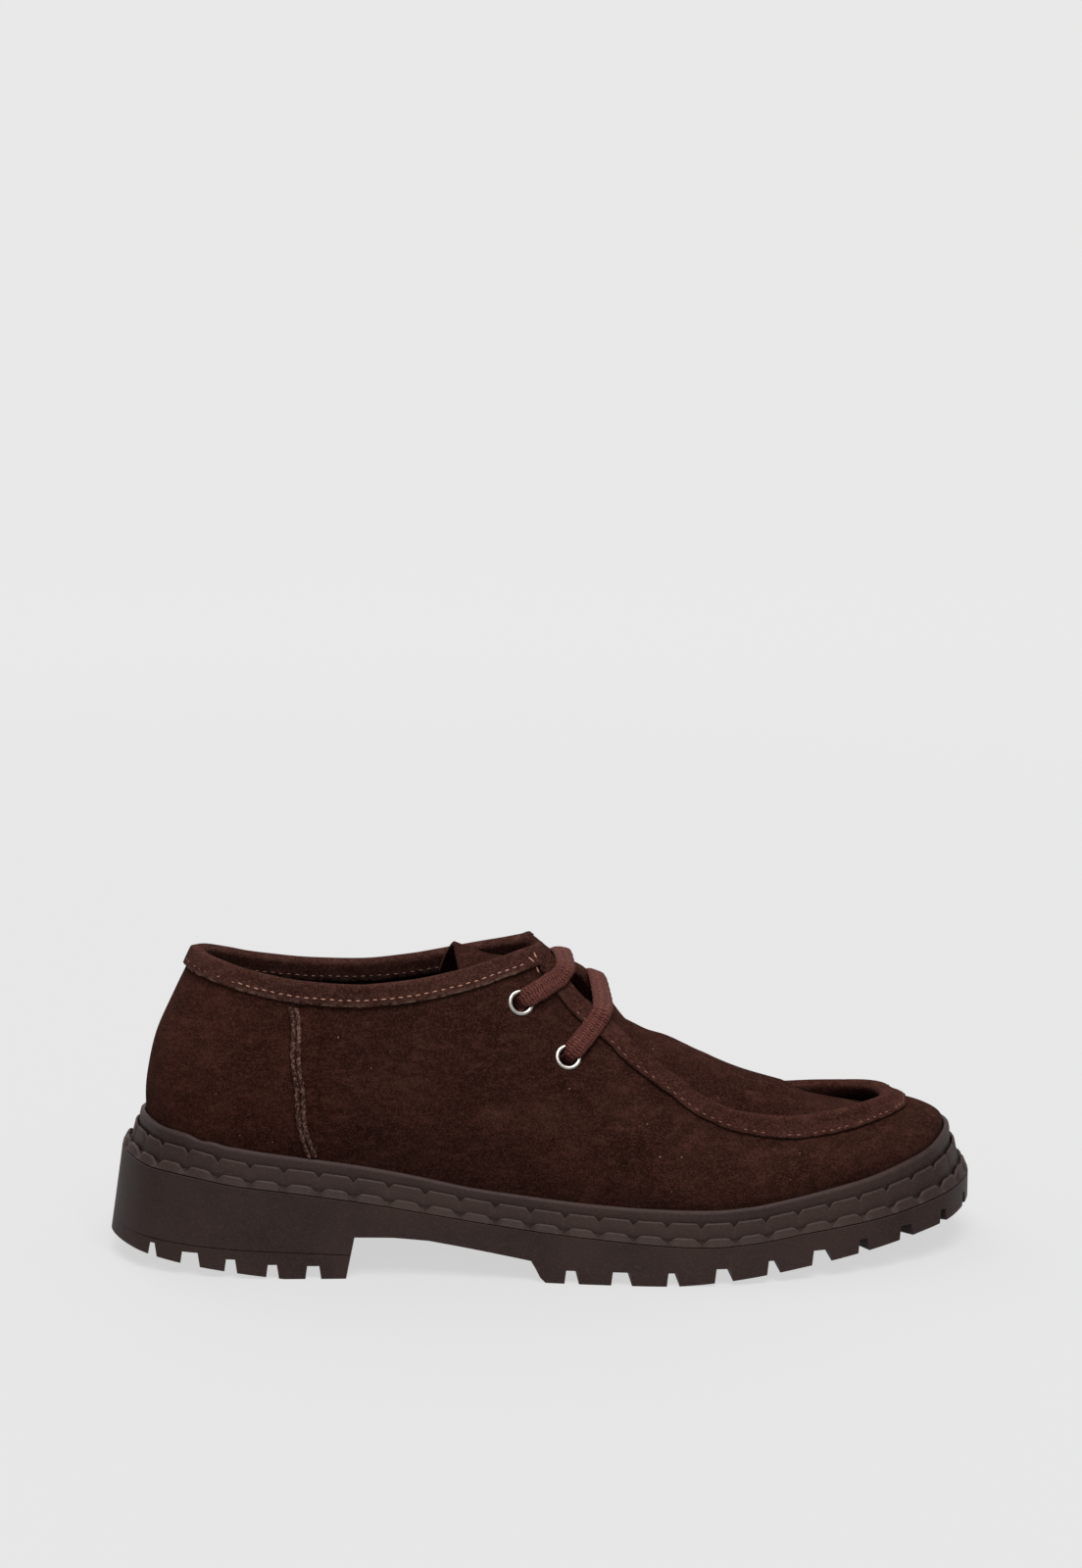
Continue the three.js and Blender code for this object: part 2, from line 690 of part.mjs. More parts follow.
// The moulded line round the heel, a small V cut into its side.
function heelLine(from, to, steps) {
  const mesher = new Mesher();
  const rings = [];
  for (let i = 0; i <= steps; i += 1) {
    const turn = from + ((to - from) * i) / steps;
    const middle = plan(turn, 0);
    const z = 7.9 + (4.2 * (breast - middle.x)) / (soleLength / 2 + breast);
    const lean = sideInset(turn) * 0.2;
    const ring = [
      [lean - 1.5, liftLine * 1.3],
      [lean + liftLine * 0.8, 0],
      [lean - 1.5, -liftLine * 1.3],
    ].map(([inset, up]) => {
      const point = plan(turn, inset);
      point.z = z + up;
      return mesher.add(point);
    });
    rings.push(ring);
  }
  for (let i = 0; i < steps; i += 1) {
    for (let k = 0; k < 3; k += 1) {
      const n = (k + 1) % 3;
      mesher.quad(rings[i][k], rings[i][n], rings[i + 1][n], rings[i + 1][k]);
    }
  }
  mesher.face(rings[0][2], rings[0][1], rings[0][0]);
  mesher.face(rings[steps][0], rings[steps][1], rings[steps][2]);
  const geometry = mesher.geometry();
  return toManifold(signedVolume(geometry) < 0 ? flipped(geometry) : geometry);
}

function makeSole() {
  const grooveWidth = (row) => narrowGroove + row.wide * (wideGroove - narrowGroove);
  const cuts = [underCut()];
  for (const row of [...heelGrooves, ...frontGrooves]) {
    cuts.push(groove(plan(row.turn, -3), plan(2 - row.turn, -3), grooveWidth(row)));
  }
  for (const row of toeGrooves) {
    for (const turn of row.turn === 1 ? [1] : [row.turn, 2 - row.turn]) {
      cuts.push(groove(plan(turn, -4), plan(turn, channelInset), grooveWidth(row)));
    }
  }
  cuts.push(channel(frontGrooves[0].turn, 2 - frontGrooves[0].turn, 30));
  cuts.push(channel(2 - heelGrooves[0].turn, 2 + heelGrooves[0].turn, 16));
  cuts.push(heelLine(2 - 0.3, 2 + 0.3, 18));
  let sole = soleBody();
  for (const cut of cuts) {
    sole = sole.subtract(cut);
  }
  return fromManifold(sole);
}

// Upper. Each column runs from the floor, up beside the rim and on to the top edge.
const throatDrop = throatHeight - collarLowHeight;
const backRise = collarBackHeight - collarLowHeight;
const centreAt = (x) => column(crestRows, 'along', 'sway', x / soleLength + 0.5);
const collarTable = [
  ...collarRows.map((row) => ({
    ...row,
    flare: 0,
    half: (row.side * collarWidth) / 2,
    height: collarLowHeight + row.back * backRise + row.throat * throatDrop,
  })),
  { ...cornerRow, half: throatGap / 2, height: throatHeight },
];
const frontTable = [
  { ...cornerRow, half: throatGap / 2, height: throatHeight },
  ...frontRows.map((row) => ({
    ...row,
    half: (row.close * throatGap + row.wide * apronWidth) / 2,
    height:
      apronHeight +
      row.rise * (throatHeight - apronHeight) +
      row.toe * (toeRidgeHeight - apronHeight),
  })),
];

function upperBase(turn) {
  return plan(turn, sideInset(turn) + weltAt(turn) + gap);
}

function controls(turn) {
  const t = oneSide(turn);
  const table = t <= cornerRow.turn ? collarTable : frontTable;
  const value = (key) => column(table, 'turn', key, t);
  const side = ((turn % 2) + 2) % 2 <= 1 ? -1 : 1;
  const near = Math.max(0, 1 - Math.abs(t - cornerRow.turn) / 0.16);
  const x = (value('along') - 0.5) * soleLength - (side > 0 ? innerSkew * near : 0);
  const sag = innerSag * Math.min(1, t / 0.15, (1 - t) / 0.15);
  const lifted = side > 0 ? value('flare') * innerFlare - sag : 0;
  const top = new THREE.Vector3(x, side * value('half') + centreAt(x), value('height') + lifted);
  const foot = upperBase(turn).setZ(rimHeight(turn));
  const out = outward(turn);
  const tall = top.z - foot.z;
  const low = foot.clone().addScaledVector(out, value('swell') * wallSwell);
  low.z += value('lift') * tall;
  const high = top.clone().addScaledVector(out, value('spread') * wallSpread);
  high.z -= value('drop') * tall;
  return { foot, low, high, top };
}

// Outer face of the upper. up: 0 at the rim to 1 at the top edge.
function outerAt(turn, up) {
  const { foot, low, high, top } = controls(turn);
  const down = 1 - up;
  return foot
    .multiplyScalar(down * down * down)
    .addScaledVector(low, 3 * down * down * up)
    .addScaledVector(high, 3 * down * up * up)
    .addScaledVector(top, up * up * up);
}

function normalAt(turn, up) {
  const small = 0.002;
  const along = outerAt(turn + small, up).sub(outerAt(turn - small, up));
  const low = Math.max(0, up - 0.01);
  const high = Math.min(1, up + 0.01);
  const rise = outerAt(turn, high).sub(outerAt(turn, low));
  return along.cross(rise).normalize();
}

function wallPoint(turn, up, depth) {
  return outerAt(turn, up).addScaledVector(normalAt(turn, up), -depth);
}

// Turns of the columns: one at each tooth of the sole, and more where the facings drop.
const sideTurns = [0.4715, 0.483, 0.506, 0.517];
for (let k = 0; k <= toothCount / 2; k += 1) {
  const turn = (2 * k) / toothCount;
  sideTurns.push(Math.abs(turn - cornerRow.turn) < 0.01 ? cornerRow.turn : turn);
}
sideTurns.sort((a, b) => a - b);
const columns = [
  ...sideTurns,
  ...sideTurns.slice(1, -1).reverse().map((turn) => 2 - turn),
];

// Eyelets, on both sides of the throat. outer, inner: where the lace passes over each facing's edge.
const eyeletRows = [
  { name: 'upper', turn: 0.452, up: 0.785, outer: 0.483, inner: 0.491 },
  { name: 'lower', turn: 0.494, up: 0.68, outer: 0.5235, inner: 0.527 },
];
const eyeletTurn = (row, side) => (side < 0 ? row.turn : 2 - row.turn);

// Height on a column that lies a given way down the wall from its top edge.
function upBelow(turn, distance) {
  const step = 0.01;
  let up = 1;
  let run = 0;
  let last = outerAt(turn, 1);
  while (up > step) {
    const next = outerAt(turn, up - step);
    const piece = next.distanceTo(last);
    if (run + piece >= distance) {
      return up - (step * (distance - run)) / piece;
    }
    run += piece;
    up -= step;
    last = next;
  }
  return up;
}

// Frame at a place on the wall: outward normal, and the directions along the column and across it.
function frameAt(turn, up) {
  const normal = normalAt(turn, up);
  const low = Math.max(0, up - 0.01);
  const high = Math.min(1, up + 0.01);
  const rise = outerAt(turn, high).sub(outerAt(turn, low)).normalize();
  return { normal, rise, across: rise.clone().cross(normal).normalize() };
}

// How far the tape's legs reach down a column, which may meet the edge at a slant.
function legAt(turn) {
  const way = oneSide(turn) < cornerRow.turn ? -0.004 : 0.004;
  const side = ((turn % 2) + 2) % 2 <= 1 ? 1 : -1;
  const edge = outerAt(turn + side * way, 1).sub(outerAt(turn, 1)).normalize();
  const { rise } = frameAt(turn, 0.995);
  return bindingWidth / Math.max(0.7, rise.cross(edge).length());
}

// Rows of a column: even from the rim to the foot of the tape's legs, then two under the tape.
function upsAt(turn) {
  const foot = upBelow(turn, legAt(turn));
  const rows = [0, 0.2, 0.42, 0.64, 0.84, 1].map((share) => share * foot);
  return [...rows, upBelow(turn, legAt(turn) * 0.4), 1];
}

// The wall from its outer face in to a given depth.
function shell(depth) {
  const mesher = new Mesher();
  const outer = [];
  const inner = [];
  for (const turn of columns) {
    const out = outward(turn);
    const ups = upsAt(turn);
    const foot = upperBase(turn).setZ(floorHeight(turn) + 2 * gap);
    outer.push([
      mesher.add(foot),
      ...ups.map((up) => mesher.add(outerAt(turn, up))),
    ]);
    inner.push([
      mesher.add(foot.clone().addScaledVector(out, -depth)),
      mesher.add(outerAt(turn, 0).addScaledVector(out, -depth)),
      ...ups.slice(1).map((up) => mesher.add(wallPoint(turn, up, depth))),
    ]);
  }
  const n = columns.length;
  const rows = outer[0].length;
  for (let i = 0; i < n; i += 1) {
    const k = (i + 1) % n;
    for (let j = 0; j + 1 < rows; j += 1) {
      mesher.quad(outer[i][j], outer[k][j], outer[k][j + 1], outer[i][j + 1]);
      mesher.quad(inner[k][j], inner[i][j], inner[i][j + 1], inner[k][j + 1]);
    }
    mesher.quad(outer[i][rows - 1], outer[k][rows - 1], inner[k][rows - 1], inner[i][rows - 1]);
    mesher.quad(inner[i][0], inner[k][0], outer[k][0], outer[i][0]);
  }
  return toManifold(mesher.geometry());
}

function upperBody() {
  let body = shell(wall);
  for (const row of eyeletRows) {
    for (const side of [-1, 1]) {
      const at = placed(eyeletTurn(row, side), row.up);
      const drill = disc(barrelDiameter / 2 + gap, 3 * wall).applyMatrix4(at);
      body = body.subtract(toManifold(drill));
    }
  }
  return fromManifold(body);
}

// A matrix that lays an object's Z along the wall's outward normal.
function placed(turn, up) {
  const { normal, rise, across } = frameAt(turn, up);
  const matrix = new THREE.Matrix4().makeBasis(across, rise.clone(), normal);
  const square = new THREE.Vector3().crossVectors(normal, across).normalize();
  matrix.makeBasis(across, square, normal);
  return matrix.setPosition(outerAt(turn, up));
}

// A short closed cylinder about the origin, along Z.
function disc(radius, half) {
  const ring = (z) => {
    const points = [];
    for (let i = 0; i < 14; i += 1) {
      const angle = (i * Math.PI) / 7;
      points.push(new THREE.Vector3(radius * Math.cos(angle), radius * Math.sin(angle), z));
    }
    return points;
  };
  return prism(ring(-half), ring(half));
}

// A strip of one closed section carried along a list of stations, open-ended or as a loop.
function swept(sections, loop) {
  const mesher = new Mesher();
  const rings = sections.map((section) => section.map((point) => mesher.add(point)));
  const n = rings[0].length;
  const count = rings.length;
  for (let i = 0; i < (loop ? count : count - 1); i += 1) {
    const next = rings[(i + 1) % count];
    for (let k = 0; k < n; k += 1) {
      const j = (k + 1) % n;
      mesher.quad(rings[i][k], rings[i][j], next[j], next[k]);
    }
  }
  if (!loop) {
    const faces = THREE.ShapeUtils.triangulateShape(flattened(sections[0]), []);
    for (const [a, b, c] of faces) {
      mesher.face(rings[0][a], rings[0][c], rings[0][b]);
      mesher.face(rings[count - 1][a], rings[count - 1][b], rings[count - 1][c]);
    }
  }
  const geometry = mesher.geometry();
  const body = signedVolume(geometry) < 0 ? flipped(geometry) : geometry;
  return body;
}

// A section's points in its own plane.
function flattened(points) {
  const origin = points[0];
  let normal = new THREE.Vector3();
  for (let i = 1; i + 1 < points.length; i += 1) {
    const a = points[i].clone().sub(origin);
    const b = points[i + 1].clone().sub(origin);
    normal.add(a.cross(b));
  }
  normal = normal.normalize();
  const u = points[1].clone().sub(origin).normalize();
  const v = normal.clone().cross(u);
  return points.map((point) => {
    const way = point.clone().sub(origin);
    return new THREE.Vector2(way.dot(u), way.dot(v));
  });
}

// A tape folded over the top edge: an outer leg, the fold and an inner leg. extra thickens it.
function bindingSection(turn, extra) {
  const { normal, rise } = frameAt(turn, 0.995);
  const leg = legAt(turn);
  const off = gap + bindingThickness + extra;
  const on = (distance, depth) => wallPoint(turn, upBelow(turn, distance), depth);
  const over = (depth, up) =>
    outerAt(turn, 1).addScaledVector(normal, -depth).addScaledVector(rise, up);
  return [
    on(leg + extra, -gap),
    on(leg + extra, -off),
    on(leg * 0.4, -off),
    over(-off, 0),
    over(wall / 2, off + 0.3),
    over(wall + off, 0),
    on(leg * 0.4, wall + off),
    on(leg + extra, wall + off),
    on(leg + extra, wall + gap),
    on(leg * 0.4, wall + gap),
    over(wall + gap, gap),
    over(-gap, gap),
    on(leg * 0.4, -gap),
  ];
}

const collarTurns = sideTurns.filter((turn) => turn < cornerRow.turn - 0.001);
const cornerIn = cornerRow.turn - 0.0012;
const cornerOut = cornerRow.turn + 0.0022;

function collarBinding() {
  const list = [
    ...[cornerIn, ...collarTurns.slice(1).reverse()].map((turn) => 2 - turn),
    ...collarTurns,
    cornerIn,
  ];
  return swept(list.map((turn) => bindingSection(turn, 0)), false);
}

function apronBinding(extra) {
  const turns = sideTurns.filter((turn) => turn > cornerRow.turn + 0.004);
  const list = [cornerOut, ...turns, ...turns.slice(0, -1).reverse().map((t) => 2 - t), 2 - cornerOut];
  return swept(list.map((turn) => bindingSection(turn, extra)), false);
}

// A raised seam on each side, from under the collar's tape down to the rim.
function sideSeam(side) {
  const steps = 9;
  const top = 0.2193;
  const foot = 0.2588;
  const sections = [];
  for (let i = 0; i <= steps; i += 1) {
    const way = i / steps;
    const t = top + (foot - top) * way;
    const turn = side < 0 ? t : 2 - t;
    const high = upBelow(turn, bindingWidth + 1.2);
    const up = high + (0.035 - high) * way;
    const { normal, across } = frameAt(turn, up);
    const at = outerAt(turn, up);
    const spot = (over, lift) =>
      at.clone().addScaledVector(across, over * seamWidth).addScaledVector(normal, lift);
    sections.push([
      spot(-0.5, gap),
      spot(-0.42, gap + seamHeight * 0.8),
      spot(-0.14, gap + seamHeight),
      spot(0, gap + seamHeight * 0.6),
      spot(0.14, gap + seamHeight),
      spot(0.42, gap + seamHeight * 0.8),
      spot(0.5, gap),
    ]);
  }
  return swept(sections, false);
}

function eyelet(row, side) {
  const lift = gap + 0.35;
  const hole = eyeletHole / 2;
  const barrel = barrelDiameter / 2;
  const rim = eyeletDiameter / 2;
  const profile = [
    [hole, lift + flangeThickness * 0.6],
    [barrel, lift + flangeThickness],
    [rim - 0.4, lift + flangeThickness * 0.8],
    [rim, lift],
    [barrel, lift],
    [barrel, -wall - 0.9],
    [hole, -wall - 0.9],
    [hole, lift + flangeThickness * 0.6],
  ].map(([x, y]) => new THREE.Vector2(x, y));
  const geometry = new THREE.LatheGeometry(profile, 12);
  geometry.rotateX(Math.PI / 2);
  geometry.applyMatrix4(placed(eyeletTurn(row, side), row.up));
  const ring = fromManifold(toManifold(geometry));
  return signedVolume(ring) < 0 ? flipped(ring) : ring;
}

// The place on the wall nearest to a point, searched from a first guess.
function nearestOnWall(point, turn, up) {
  const small = 0.002;
  for (let k = 0; k < 8; k += 1) {
    const at = outerAt(turn, up);
    const along = outerAt(turn + small, up).sub(at).divideScalar(small);
    const rise = outerAt(turn, up - small).sub(at).divideScalar(-small);
    const off = point.clone().sub(at);
    const shared = along.dot(rise);
    const area = along.lengthSq() * rise.lengthSq() - shared * shared;
    turn += (off.dot(along) * rise.lengthSq() - off.dot(rise) * shared) / area;
    up += (off.dot(rise) * along.lengthSq() - off.dot(along) * shared) / area;
    up = Math.min(1, up);
  }
  return { turn, up };
}

// A flat lace over the throat, from above one eyelet to above the other.
function laceBar(row) {
  const clear = 2 * gap + flangeThickness + 2 * gap + laceThickness / 2;
  const above = gap + bindingThickness + gap + laceThickness / 2;
  const half = (side) => {
    const turn = (t) => (side < 0 ? t : 2 - t);
    const cross = turn(side < 0 ? row.outer : row.inner);
    const start = outerAt(turn(row.turn), row.up);
    const end = outerAt(cross, 1);
    const path = [];
    for (let k = 0; k <= 3; k += 1) {
      const way = k / 4;
      const target = start.clone().lerp(end, way);
      const guess = turn(row.turn) + (cross - turn(row.turn)) * way;
      const on = nearestOnWall(target, guess, row.up + (1 - row.up) * way);
      const face = normalAt(on.turn, Math.min(on.up, 0.99));
      path.push({ at: outerAt(on.turn, on.up).addScaledVector(face, clear + laceRise * 0.36 * way), face });
    }
    const { normal, rise } = frameAt(cross, 0.99);
    const face = rise.clone().addScaledVector(normal, 0.9).normalize();
    path.push({ at: end.clone().addScaledVector(face, above + laceRise), face });
    return path;
  };
  const near = half(-1);
  const far = half(1);
  const middle = near[4].at.clone().add(far[4].at).multiplyScalar(0.5);
  middle.x += laceBow;
  const whole = [...near, { at: middle, face: new THREE.Vector3(0.35, 0, 1) }, ...far.reverse()];
  const curve = new THREE.CatmullRomCurve3(whole.map((entry) => entry.at), false, 'centripetal');
  const faces = new THREE.CatmullRomCurve3(whole.map((entry) => entry.face), false, 'catmullrom', 0.5);
  const steps = 20;
  const sections = [];
  for (let i = 0; i <= steps; i += 1) {
    const at = curve.getPoint(i / steps);
    const along = curve.getTangent(i / steps);
    const up = faces.getPoint(i / steps).projectOnPlane(along).normalize();
    const side = along.clone().cross(up).normalize();
    const section = [];
    for (let k = 0; k < 8; k += 1) {
      const angle = ((k + 0.5) * Math.PI) / 4;
      const flat = Math.sign(Math.cos(angle)) * Math.pow(Math.abs(Math.cos(angle)), 0.8);
      section.push(
        at
          .clone()
          .addScaledVector(side, (flat * laceWidth) / 2)
          .addScaledVector(up, (Math.sin(angle) * laceThickness) / 2),
      );
    }
    sections.push(section);
  }
  return swept(sections, false);
}

// Apron and tongue, one sheet. The plug's edges lie inside the ridge, the tongue's run free.
// half to innerBack: shares of the collar's width.
const tongueRows = [
  { along: 0.402, half: 0.337, fall: 0.269, outerBack: 0.019, innerBack: 0.173 },
  { along: 0.417, half: 0.346, fall: 0.24, outerBack: 0.029, innerBack: 0.154 },
  { along: 0.44, half: 0.35, fall: 0.221, outerBack: 0.038, innerBack: 0.125 },
  { along: 0.467, half: 0.346, fall: 0.212, outerBack: 0.048, innerBack: 0.096 },
  { along: 0.5, half: 0.35, fall: 0.231, outerBack: 0.058, innerBack: 0.077 },
  { along: 0.533, half: 0.365, fall: 0.24, outerBack: 0.058, innerBack: 0.058 },
  { along: 0.567, half: 0.394, fall: 0.24, outerBack: 0.048, innerBack: 0.048 },
];
const plugTurns = [0.58, 0.615, 0.65, 0.69, 0.73, 0.77, 0.81, 0.85, 0.89, 0.92, 0.945, 0.965];
const plugDrop = 6;
const crossings = 8;

function apronAndTongue() {
  const grid = [];
  const crestAt = (x) => crestHeight * column(crestRows, 'along', 'up', x / soleLength + 0.5);
  const row = (left, right, crest) => {
    const points = [];
    for (let k = 0; k <= crossings; k += 1) {
      const w = (2 * k) / crossings - 1;
      const edge = w < 0 ? left : right;
      const s = Math.abs(w);
      points.push(
        new THREE.Vector3(
          crest.x + (edge.x - crest.x) * s * s,
          crest.y + (edge.y - crest.y) * s,
          crest.z + (edge.z - crest.z) * Math.pow(s, 2.2),
        ),
      );
    }
    return points;
  };
  for (const entry of tongueRows) {
    const x = (entry.along - 0.5) * soleLength;
    const z = crestAt(x);
    const y = centreAt(x);
    const crest = new THREE.Vector3(x, y, z);
    const side = (back, half) =>
      new THREE.Vector3(-back, half, -entry.fall).multiplyScalar(collarWidth).add(crest);
    const left = side(entry.outerBack, -entry.half);
    const right = side(entry.innerBack, entry.half);
    grid.push(row(left, right, crest));
  }
  const seat = wall + gap + bindingThickness + gap;
  const inside = (turn) => wallPoint(turn, upBelow(turn, plugDrop), seat);
  for (const turn of plugTurns) {
    const left = inside(turn);
    const right = inside(2 - turn);
    const x = (left.x + right.x) / 2 + 1.5;
    const crest = new THREE.Vector3(x, (left.y + right.y) / 2, crestAt(x));
    grid.push(row(left, right, crest));
  }
  const tip = [];
  const last = 1 - plugTurns[plugTurns.length - 1];
  for (let k = 0; k <= crossings; k += 1) {
    tip.push(inside(1 + last * 0.8 * ((2 * k) / crossings - 1)));
  }
  grid.push(tip);
  const around = shell(wall + gap).add(toManifold(apronBinding(gap)));
  const pieces = toManifold(sheet(grid, tongueThickness)).subtract(around).decompose();
  pieces.sort((a, b) => b.volume() - a.volume());
  return fromManifold(pieces[0]);
}

// A closed sheet under a grid of points.
function sheet(grid, thickness) {
  const mesher = new Mesher();
  const rows = grid.length;
  const cols = grid[0].length;
  const normal = (i, j) => {
    const a = grid[Math.min(rows - 1, i + 1)][j].clone().sub(grid[Math.max(0, i - 1)][j]);
    const b = grid[i][Math.min(cols - 1, j + 1)].clone().sub(grid[i][Math.max(0, j - 1)]);
    const n = a.cross(b).normalize();
    return n.z < 0 ? n.negate() : n;
  };
  const top = grid.map((row) => row.map((point) => mesher.add(point)));
  const under = grid.map((row, i) =>
    row.map((point, j) => mesher.add(point.clone().addScaledVector(normal(i, j), -thickness))),
  );
  for (let i = 0; i + 1 < rows; i += 1) {
    for (let j = 0; j + 1 < cols; j += 1) {
      mesher.quad(top[i][j], top[i + 1][j], top[i + 1][j + 1], top[i][j + 1]);
      mesher.quad(under[i][j], under[i][j + 1], under[i + 1][j + 1], under[i + 1][j]);
    }
    mesher.quad(top[i + 1][0], top[i][0], under[i][0], under[i + 1][0]);
    mesher.quad(top[i][cols - 1], top[i + 1][cols - 1], under[i + 1][cols - 1], under[i][cols - 1]);
  }
  for (let j = 0; j + 1 < cols; j += 1) {
    mesher.quad(top[0][j], top[0][j + 1], under[0][j + 1], under[0][j]);
    mesher.quad(top[rows - 1][j + 1], top[rows - 1][j], under[rows - 1][j], under[rows - 1][j + 1]);
  }
  const geometry = mesher.geometry();
  return signedVolume(geometry) < 0 ? flipped(geometry) : geometry;
}

// Insole on the sole's floor, inside the upper.
function insole() {
  const mesher = new Mesher();
  const inset = (turn) => sideInset(turn) + weltAt(turn) + gap + wall + gap;
  const ring = (up) =>
    soleRing(inset, (turn) => floorHeight(turn) + up, 1).map((entry) => ({
      turn: entry.turn,
      id: mesher.add(entry.point),
    }));
  const low = ring(2 * gap);
  const high = ring(2 * gap + insoleThickness);
  mesher.cap(low, false);
  mesher.bridge(low, high);
  mesher.cap(high, true);
  return mesher.geometry();
}

const shoe = new THREE.Group();
shoe.name = 'moccasin_shoe';

function addPart(name, geometry, look) {
  geometry.computeVertexNormals();
  const mesh = new THREE.Mesh(geometry, new THREE.MeshStandardMaterial(look));
  mesh.name = name;
  shoe.add(mesh);
}

addPart('sole_unit', makeSole(), rubber);
addPart('insole', insole(), lining);
addPart('upper', upperBody(), suede);
addPart('apron_tongue', apronAndTongue(), plugSuede);
addPart('collar_binding', collarBinding(), bindingSuede);
addPart('apron_binding', apronBinding(0), bindingSuede);
addPart('side_seam_outer', sideSeam(-1), bindingSuede);
addPart('side_seam_inner', sideSeam(1), bindingSuede);
for (const row of eyeletRows) {
  addPart(`eyelet_outer_${row.name}`, eyelet(row, -1), nickel);
  addPart(`eyelet_inner_${row.name}`, eyelet(row, 1), nickel);
}
for (const row of eyeletRows) {
  addPart(`lace_bar_${row.name}`, laceBar(row), cord);
}

// The origin is on the ground, under the middle of the whole shoe.
const box = new THREE.Box3().setFromObject(shoe);
const middle = box.getCenter(new THREE.Vector3());
for (const mesh of shoe.children) {
  mesh.geometry.translate(-middle.x, -middle.y, -box.min.z);
}

export default shoe;
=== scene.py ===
import math

import bmesh
import bpy
import numpy as np
from mathutils import Matrix, Vector


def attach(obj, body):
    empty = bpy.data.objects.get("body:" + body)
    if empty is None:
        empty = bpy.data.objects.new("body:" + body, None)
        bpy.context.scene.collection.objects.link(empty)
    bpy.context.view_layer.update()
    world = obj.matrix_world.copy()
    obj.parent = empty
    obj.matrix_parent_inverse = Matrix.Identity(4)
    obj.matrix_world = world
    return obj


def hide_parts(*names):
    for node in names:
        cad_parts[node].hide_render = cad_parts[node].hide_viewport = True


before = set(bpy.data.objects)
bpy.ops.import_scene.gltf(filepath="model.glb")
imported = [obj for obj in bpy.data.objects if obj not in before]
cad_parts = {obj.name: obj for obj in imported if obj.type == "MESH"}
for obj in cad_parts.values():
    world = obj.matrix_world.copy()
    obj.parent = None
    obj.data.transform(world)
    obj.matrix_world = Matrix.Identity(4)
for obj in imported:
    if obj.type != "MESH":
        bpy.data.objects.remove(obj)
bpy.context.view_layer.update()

# Studio. A seamless pale floor that glows, as a light table does, under an even white dome, with
# one soft box high in front and one behind. The camera stands 1.15 m off the outer side.
pale = (0.075, 0.075, 0.075, 1)
backdrop = 0.814
lamps = (
    # name, place, size, power
    ("soft_box_front", (0.1, -0.75, 1.65), 1.0, 49),
    ("soft_box_back", (-0.5, 1.1, 1.4), 1.2, 24),
)
lamp_aim = (0, 0, 0.05)
floor_radius = 30
focal_length = 75.81
camera_place = (-0.05884, -1.1074, 0.35264)
camera_tilt = 80.214
camera_turn = -3
scene = bpy.context.scene
scene.view_settings.view_transform = "Standard"
scene.view_settings.look = "None"


def put(tree, value, socket):
    """Sets a shader socket to a plain value, or links another socket to it."""
    if isinstance(value, bpy.types.NodeSocket):
        tree.links.new(value, socket)
    else:
        socket.default_value = value


def node(tree, kind, *values, **settings):
    """A new shader node with its settings, and its first inputs in their order."""
    made = tree.nodes.new("ShaderNode" + kind)
    for key, value in settings.items():
        setattr(made, key, value)
    for socket, value in zip(made.inputs, values):
        put(tree, value, socket)
    return made


def place_on(tree):
    return node(tree, "TexCoord").outputs["Object"]


def sums(tree, way, a, b):
    return node(tree, "Math", a, b, operation=way).outputs[0]


def material(name, **values):
    """A material, its node tree, and its Principled shader with some plain values set."""
    made = bpy.data.materials.new(name)
    made.use_nodes = True
    shader = made.node_tree.nodes["Principled BSDF"]
    for key, value in values.items():
        shader.inputs[key.replace("_", " ").title().replace("Ior", "IOR")].default_value = value
    return made, made.node_tree, shader


floor_finish, tree, shader = material(
    "studio_floor", base_color=pale, roughness=1.0, specular_ior_level=0.0,
    emission_color=(1, 1, 1, 1),
)
# The floor glows by what the lamps leave short of the backdrop, so that it is one even tone.
glow = backdrop * (1 - pale[0])
for _, place, _, power in lamps:
    offset = node(tree, "VectorMath", place_on(tree), place, operation="SUBTRACT").outputs[0]
    facing = node(tree, "VectorMath", offset, -Vector(place).normalized(), operation="DOT_PRODUCT")
    reach = node(tree, "VectorMath", offset, operation="LENGTH").outputs["Value"]
    ahead = sums(tree, "MAXIMUM", facing.outputs["Value"], 0.0)
    lit = sums(tree, "DIVIDE", ahead, sums(tree, "POWER", reach, 4.0))
    lit = sums(tree, "MULTIPLY", lit, pale[0] * power * place[2] / math.pi**2)
    glow = sums(tree, "SUBTRACT", glow, lit)
put(tree, glow, shader.inputs["Emission Strength"])
bm = bmesh.new()
bmesh.ops.create_circle(bm, cap_ends=True, segments=96, radius=floor_radius)
floor_mesh = bpy.data.meshes.new("studio_floor")
bm.to_mesh(floor_mesh)
bm.free()
floor_mesh.materials.append(floor_finish)
floor = bpy.data.objects.new("studio_floor", floor_mesh)
scene.collection.objects.link(floor)

world = bpy.data.worlds.new("studio_dome")
world.use_nodes = True
world.node_tree.nodes["Background"].inputs["Color"].default_value = (1, 1, 1, 1)
world.node_tree.nodes["Background"].inputs["Strength"].default_value = backdrop
scene.world = world

for name, place, size, power in lamps:
    lamp = bpy.data.lights.new(name, "AREA")
    lamp.size = size
    lamp.energy = power
    light = bpy.data.objects.new(name, lamp)
    light.location = place
    beam = Vector(lamp_aim) - Vector(place)
    light.rotation_euler = beam.to_track_quat("-Z", "Y").to_euler()
    scene.collection.objects.link(light)

lens = bpy.data.cameras.new("camera")
lens.lens = focal_length
lens.sensor_width = 36
lens.clip_end = 60
camera = bpy.data.objects.new("camera", lens)
camera.location = camera_place
camera.rotation_euler = (math.radians(camera_tilt), 0, math.radians(camera_turn))
scene.collection.objects.link(camera)
scene.camera = camera

